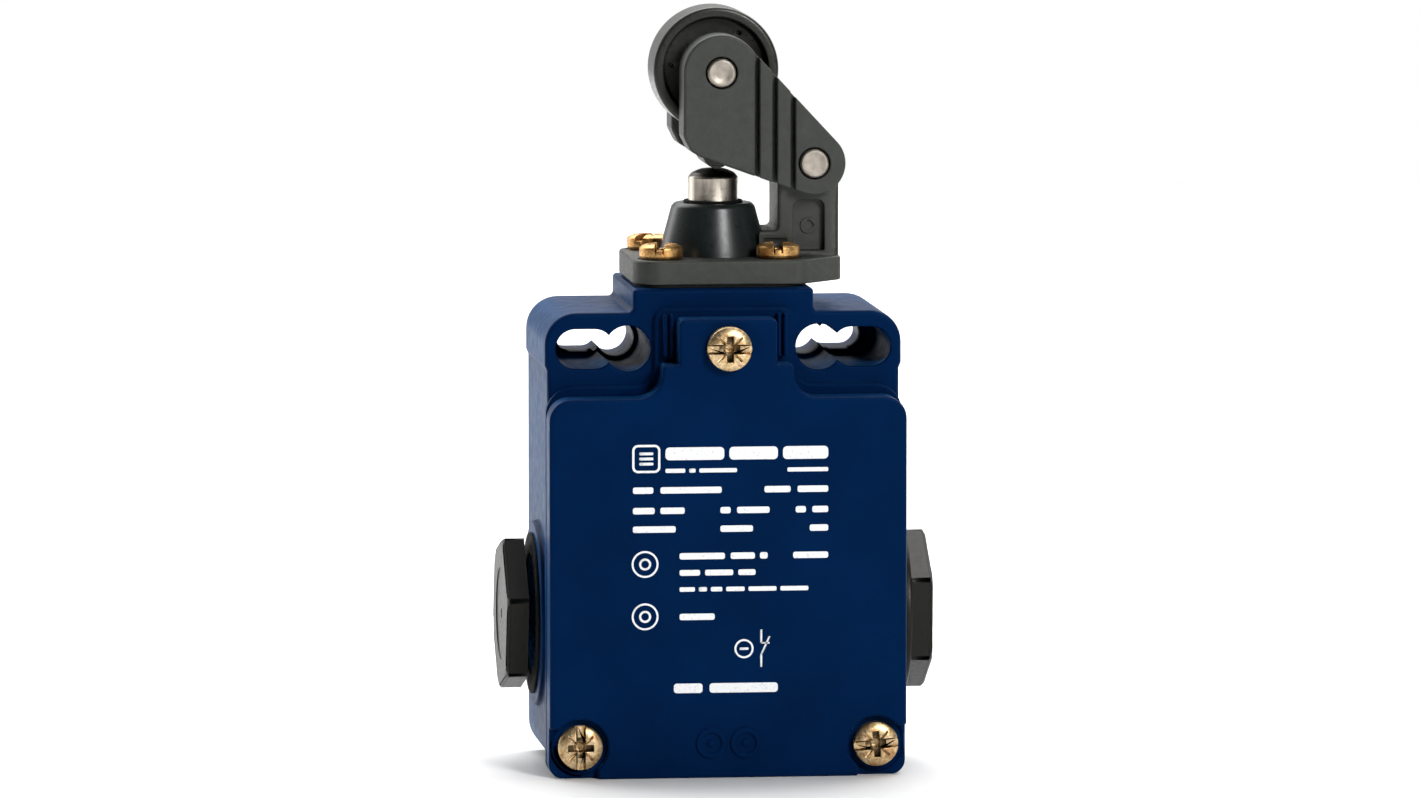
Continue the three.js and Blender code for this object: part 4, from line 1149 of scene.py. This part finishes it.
def make_lever():
    y = HEAD_Y
    outline = cheek_outline()
    inner, outer = CHEEK
    lever = prism(outline, "y", y - outer, y - inner, 0.5, 0.5)
    back = prism(outline, "y", y + inner, y + outer, 0.5, 0.5)
    ax, az = AXLE
    reach = ROLLER_R + 0.8

    def angle_at(x):
        return math.asin((x - ax) / reach) - math.pi / 2

    saddle = arc(ax, az, reach, angle_at(ax - 4.4), angle_at(7.4), 24)
    nose = arc(0, 29.6, 2.2, -0.5, -math.pi + 0.5, 14)
    bridge = list(reversed(saddle + [(7.9, 32.6), (7.9, 26.4), (3.6, 27.9)] + nose))
    join(lever, back, prism(lambda inset=0.0: bridge, "y", y - inner - 0.5, y + inner + 0.5))
    steps = []
    for i, (x, out) in enumerate(LEVER_STEPS):
        for side in (-1, 1):
            near, far = y + side * out, y + side * (14 + i)
            deep = y + side * (out - STEP_GROOVE[1])
            land = x + STEP_GROOVE[0]
            clear = 60 + i
            corners = [(x, deep, 0.3), (land, deep, 0.3), (land, near, 0.3), (clear, near)]
            corners += [(clear, far), (x, far)]
            steps.append(prism(shaped(corners if side > 0 else corners[::-1]), "z", -i, clear))
    cut(
        lever,
        *steps,
        prism(disc(*AXLE, PIN_BORE_R), "y", y - 20, y + 20),
        prism(disc(*PIVOT, PIN_BORE_R), "y", y - 20, y + 20),
        box((8.1, 60), (y - UPRIGHT_HALF - 0.3, y + UPRIGHT_HALF + 0.3), (0, 60)),
    )
    soften(lever, 0.2, 3)
    present(lever, "lever_fork", "lever_arm", "black_plastic", MOULDED, "lever")


def both_ways(half_profile):
    """A closed profile about HEAD_Y from its [radius, distance, corner radius] front half."""
    front = [(radius, HEAD_Y - away, *rest) for radius, away, *rest in half_profile]
    rear = [(radius, HEAD_Y + away, *rest) for radius, away, *rest in reversed(half_profile)]
    return front + rear


def make_roller():
    rim_r = ROLLER_R - 1.6
    hub_r = 4.4
    half_profile = [
        (PIN_BORE_R, ROLLER_HALF, 0.2),
        (hub_r, ROLLER_HALF, 0.3),
        (hub_r, ROLLER_WEB_HALF, 0.4),
        (rim_r, ROLLER_WEB_HALF, 0.6),
        (rim_r, ROLLER_HALF, 0.25),
        (ROLLER_R, ROLLER_HALF, 0.6),
    ]
    roller = turned(both_ways(half_profile), "y", AXLE, 128)
    dents = []
    dent_circle = 6.8
    for turn in (55, 175, 295):
        angle = math.radians(turn)
        x, z = AXLE[0] + dent_circle * math.cos(angle), AXLE[1] + dent_circle * math.sin(angle)
        for side in (-1, 1):
            face = HEAD_Y + side * ROLLER_WEB_HALF
            dents.append(mouth(disc(x, z, 0.35, 20), "y", face, face - side * 0.4, 0.1))
    cut(roller, *dents)
    present(roller, "roller_wheel", "roller_wheel", "black_plastic", ROLLER_LOOK, "roller")


def make_pins():
    pins = (  # node, place, half its length, its dimples' depth, body, look
        ("roller_axle", AXLE, 12.65, 0.22, "lever_arm", AXLE_STEEL),
        ("pivot_pin", PIVOT, 9.3, 0.08, "case", PIVOT_STEEL),
    )
    for node, spot, half, dimple, body, look in pins:
        half_profile = [
            (0, half - dimple),
            (1.0, half - dimple * 0.7, 0.8),
            (1.7, half, 0.8),
            (2.0, half, 0.15),
            (PIN_R, half - 0.3, 0.2),
        ]
        pin = turned(both_ways(half_profile), "y", spot, 64)
        present(pin, f"{node}_turned", body, "steel", look, node)


# -------- pieces kept from the frame


def dress_kept_nodes():
    looks = {
        "cover_gasket": RUBBER,
        "head_gasket": RUBBER,
        "sealing_diaphragm": RUBBER,
        "nc_bridge_spring": SPRING_STEEL,
        "no_bridge_spring": SPRING_STEEL,
        "spring_retainer": BRASS,
        "nc_bridge": BRASS,
        "no_bridge": BRASS,
        "contact_carrier": GLOSS,
        "block_base": INSULATOR,
        "block_screw_left": passivated("passivated_block_left", "y", (-10.6, -34.8), -11, 1),
        "block_screw_right": passivated("passivated_block_right", "y", (10.6, -34.8), -11, 1),
    }
    for terminal in ("13", "14", "21", "22"):
        looks[f"fixed_contact_{terminal}"] = BRASS
        looks[f"clamp_plate_{terminal}"] = SILVER
        looks[f"terminal_screw_{terminal}"] = SILVER
    for name, look in looks.items():
        node = nodes[name]
        node.data.materials.clear()
        node.data.materials.append(look)
        weld = node.modifiers.new("weld", "WELD")
        weld.merge_threshold = 1e-6
        edges = node.modifiers.new("edges", "BEVEL")
        edges.width = 0.08 * MM
        edges.segments = 2
        edges.limit_method = "ANGLE"
        edges.angle_limit = math.radians(40)


# -------- studio


MIDDLE = (0, -0.02, -0.01)
FLOOR_R = 1.15
LIGHTS = {  # place and target in metres, width and height, power in watts
    "key": ((0.45, -1.15, 0.55), MIDDLE, (0.3, 0.45), 13),
    "left": ((-0.85, 0.8, 0.3), MIDDLE, (0.5, 0.6), 2.5),
    "top": ((0.1, 0.25, 0.8), (0, 0.1, 0), (0.8, 0.6), 5),
    "sweep": ((0.0, 0.9, 0.9), (0, 0.8, -0.06), (2.4, 1.2), 26),
}
ROOM_GLOW = {"From Min": -0.35, "From Max": 0.45, "To Min": 0.02, "To Max": 0.68}  # dim in front, by Y
CAMERA = {"azimuth": 6.468, "elevation": 5.589, "distance": 1.75, "lens": 282.36}
CAMERA_TARGET = (-0.858, -20, -9.095)


def area_light(name, place, target, size, power):
    data = bpy.data.lights.new(name, "AREA")
    data.shape = "RECTANGLE"
    data.size, data.size_y = size
    data.energy = power
    light = bpy.data.objects.new(name, data)
    bpy.context.collection.objects.link(light)
    light.location = place
    light.rotation_euler = (Vector(target) - Vector(place)).to_track_quat("-Z", "Y").to_euler()


def make_floor():
    def build(bm):
        corners = circle(0, 0, FLOOR_R, count=64)
        bm.faces.new([bm.verts.new((x, y, (BASE_Z - 0.02) * MM)) for x, y in corners])

    floor = object_from("floor", build)
    floor.data.materials.append(floor_look())


def make_room():
    """White walls to the camera. They light the object from behind more than from the front."""
    world = bpy.data.worlds.new("studio")
    world.use_nodes = True
    bpy.context.scene.world = world
    tree = world.node_tree
    back = tree.nodes["Background"]
    back.inputs["Color"].default_value = (1, 1, 1, 1)
    coords = tree.nodes.new("ShaderNodeTexCoord")
    split = tree.nodes.new("ShaderNodeSeparateXYZ")
    tree.links.new(coords.outputs["Generated"], split.inputs[0])
    ramp = tree.nodes.new("ShaderNodeMapRange")
    ramp.interpolation_type = "SMOOTHSTEP"
    for socket, value in ROOM_GLOW.items():
        ramp.inputs[socket].default_value = value
    tree.links.new(split.outputs["Y"], ramp.inputs["Value"])
    path = tree.nodes.new("ShaderNodeLightPath")
    seen = tree.nodes.new("ShaderNodeMix")
    tree.links.new(path.outputs["Is Camera Ray"], seen.inputs[0])
    tree.links.new(ramp.outputs[0], seen.inputs[2])
    seen.inputs[3].default_value = 1.0
    tree.links.new(seen.outputs[0], back.inputs["Strength"])


def make_camera():
    azimuth, elevation = math.radians(CAMERA["azimuth"]), math.radians(CAMERA["elevation"])
    data = bpy.data.cameras.new("camera")
    data.sensor_width = 36
    data.lens = CAMERA["lens"]
    data.clip_start, data.clip_end = 0.05, 50
    camera = bpy.data.objects.new("camera", data)
    bpy.context.collection.objects.link(camera)
    across, back = -math.sin(azimuth) * math.cos(elevation), -math.cos(azimuth) * math.cos(elevation)
    away = Vector((across, back, math.sin(elevation)))
    camera.location = Vector(CAMERA_TARGET) * MM + away * CAMERA["distance"]
    camera.rotation_euler = (-away).to_track_quat("-Z", "Y").to_euler()
    bpy.context.scene.camera = camera


# -------- the whole scene

make_housing()
make_cover()
make_print()
make_cover_screws()
make_plugs()
make_bracket()
make_head_screws()
make_guide()
make_plunger()
make_springs()
make_lever()
make_roller()
make_pins()
dress_kept_nodes()
make_floor()
make_room()
for light_name, light_facts in LIGHTS.items():
    area_light(light_name, *light_facts)
make_camera()
bpy.context.scene.view_settings.view_transform = "Standard"
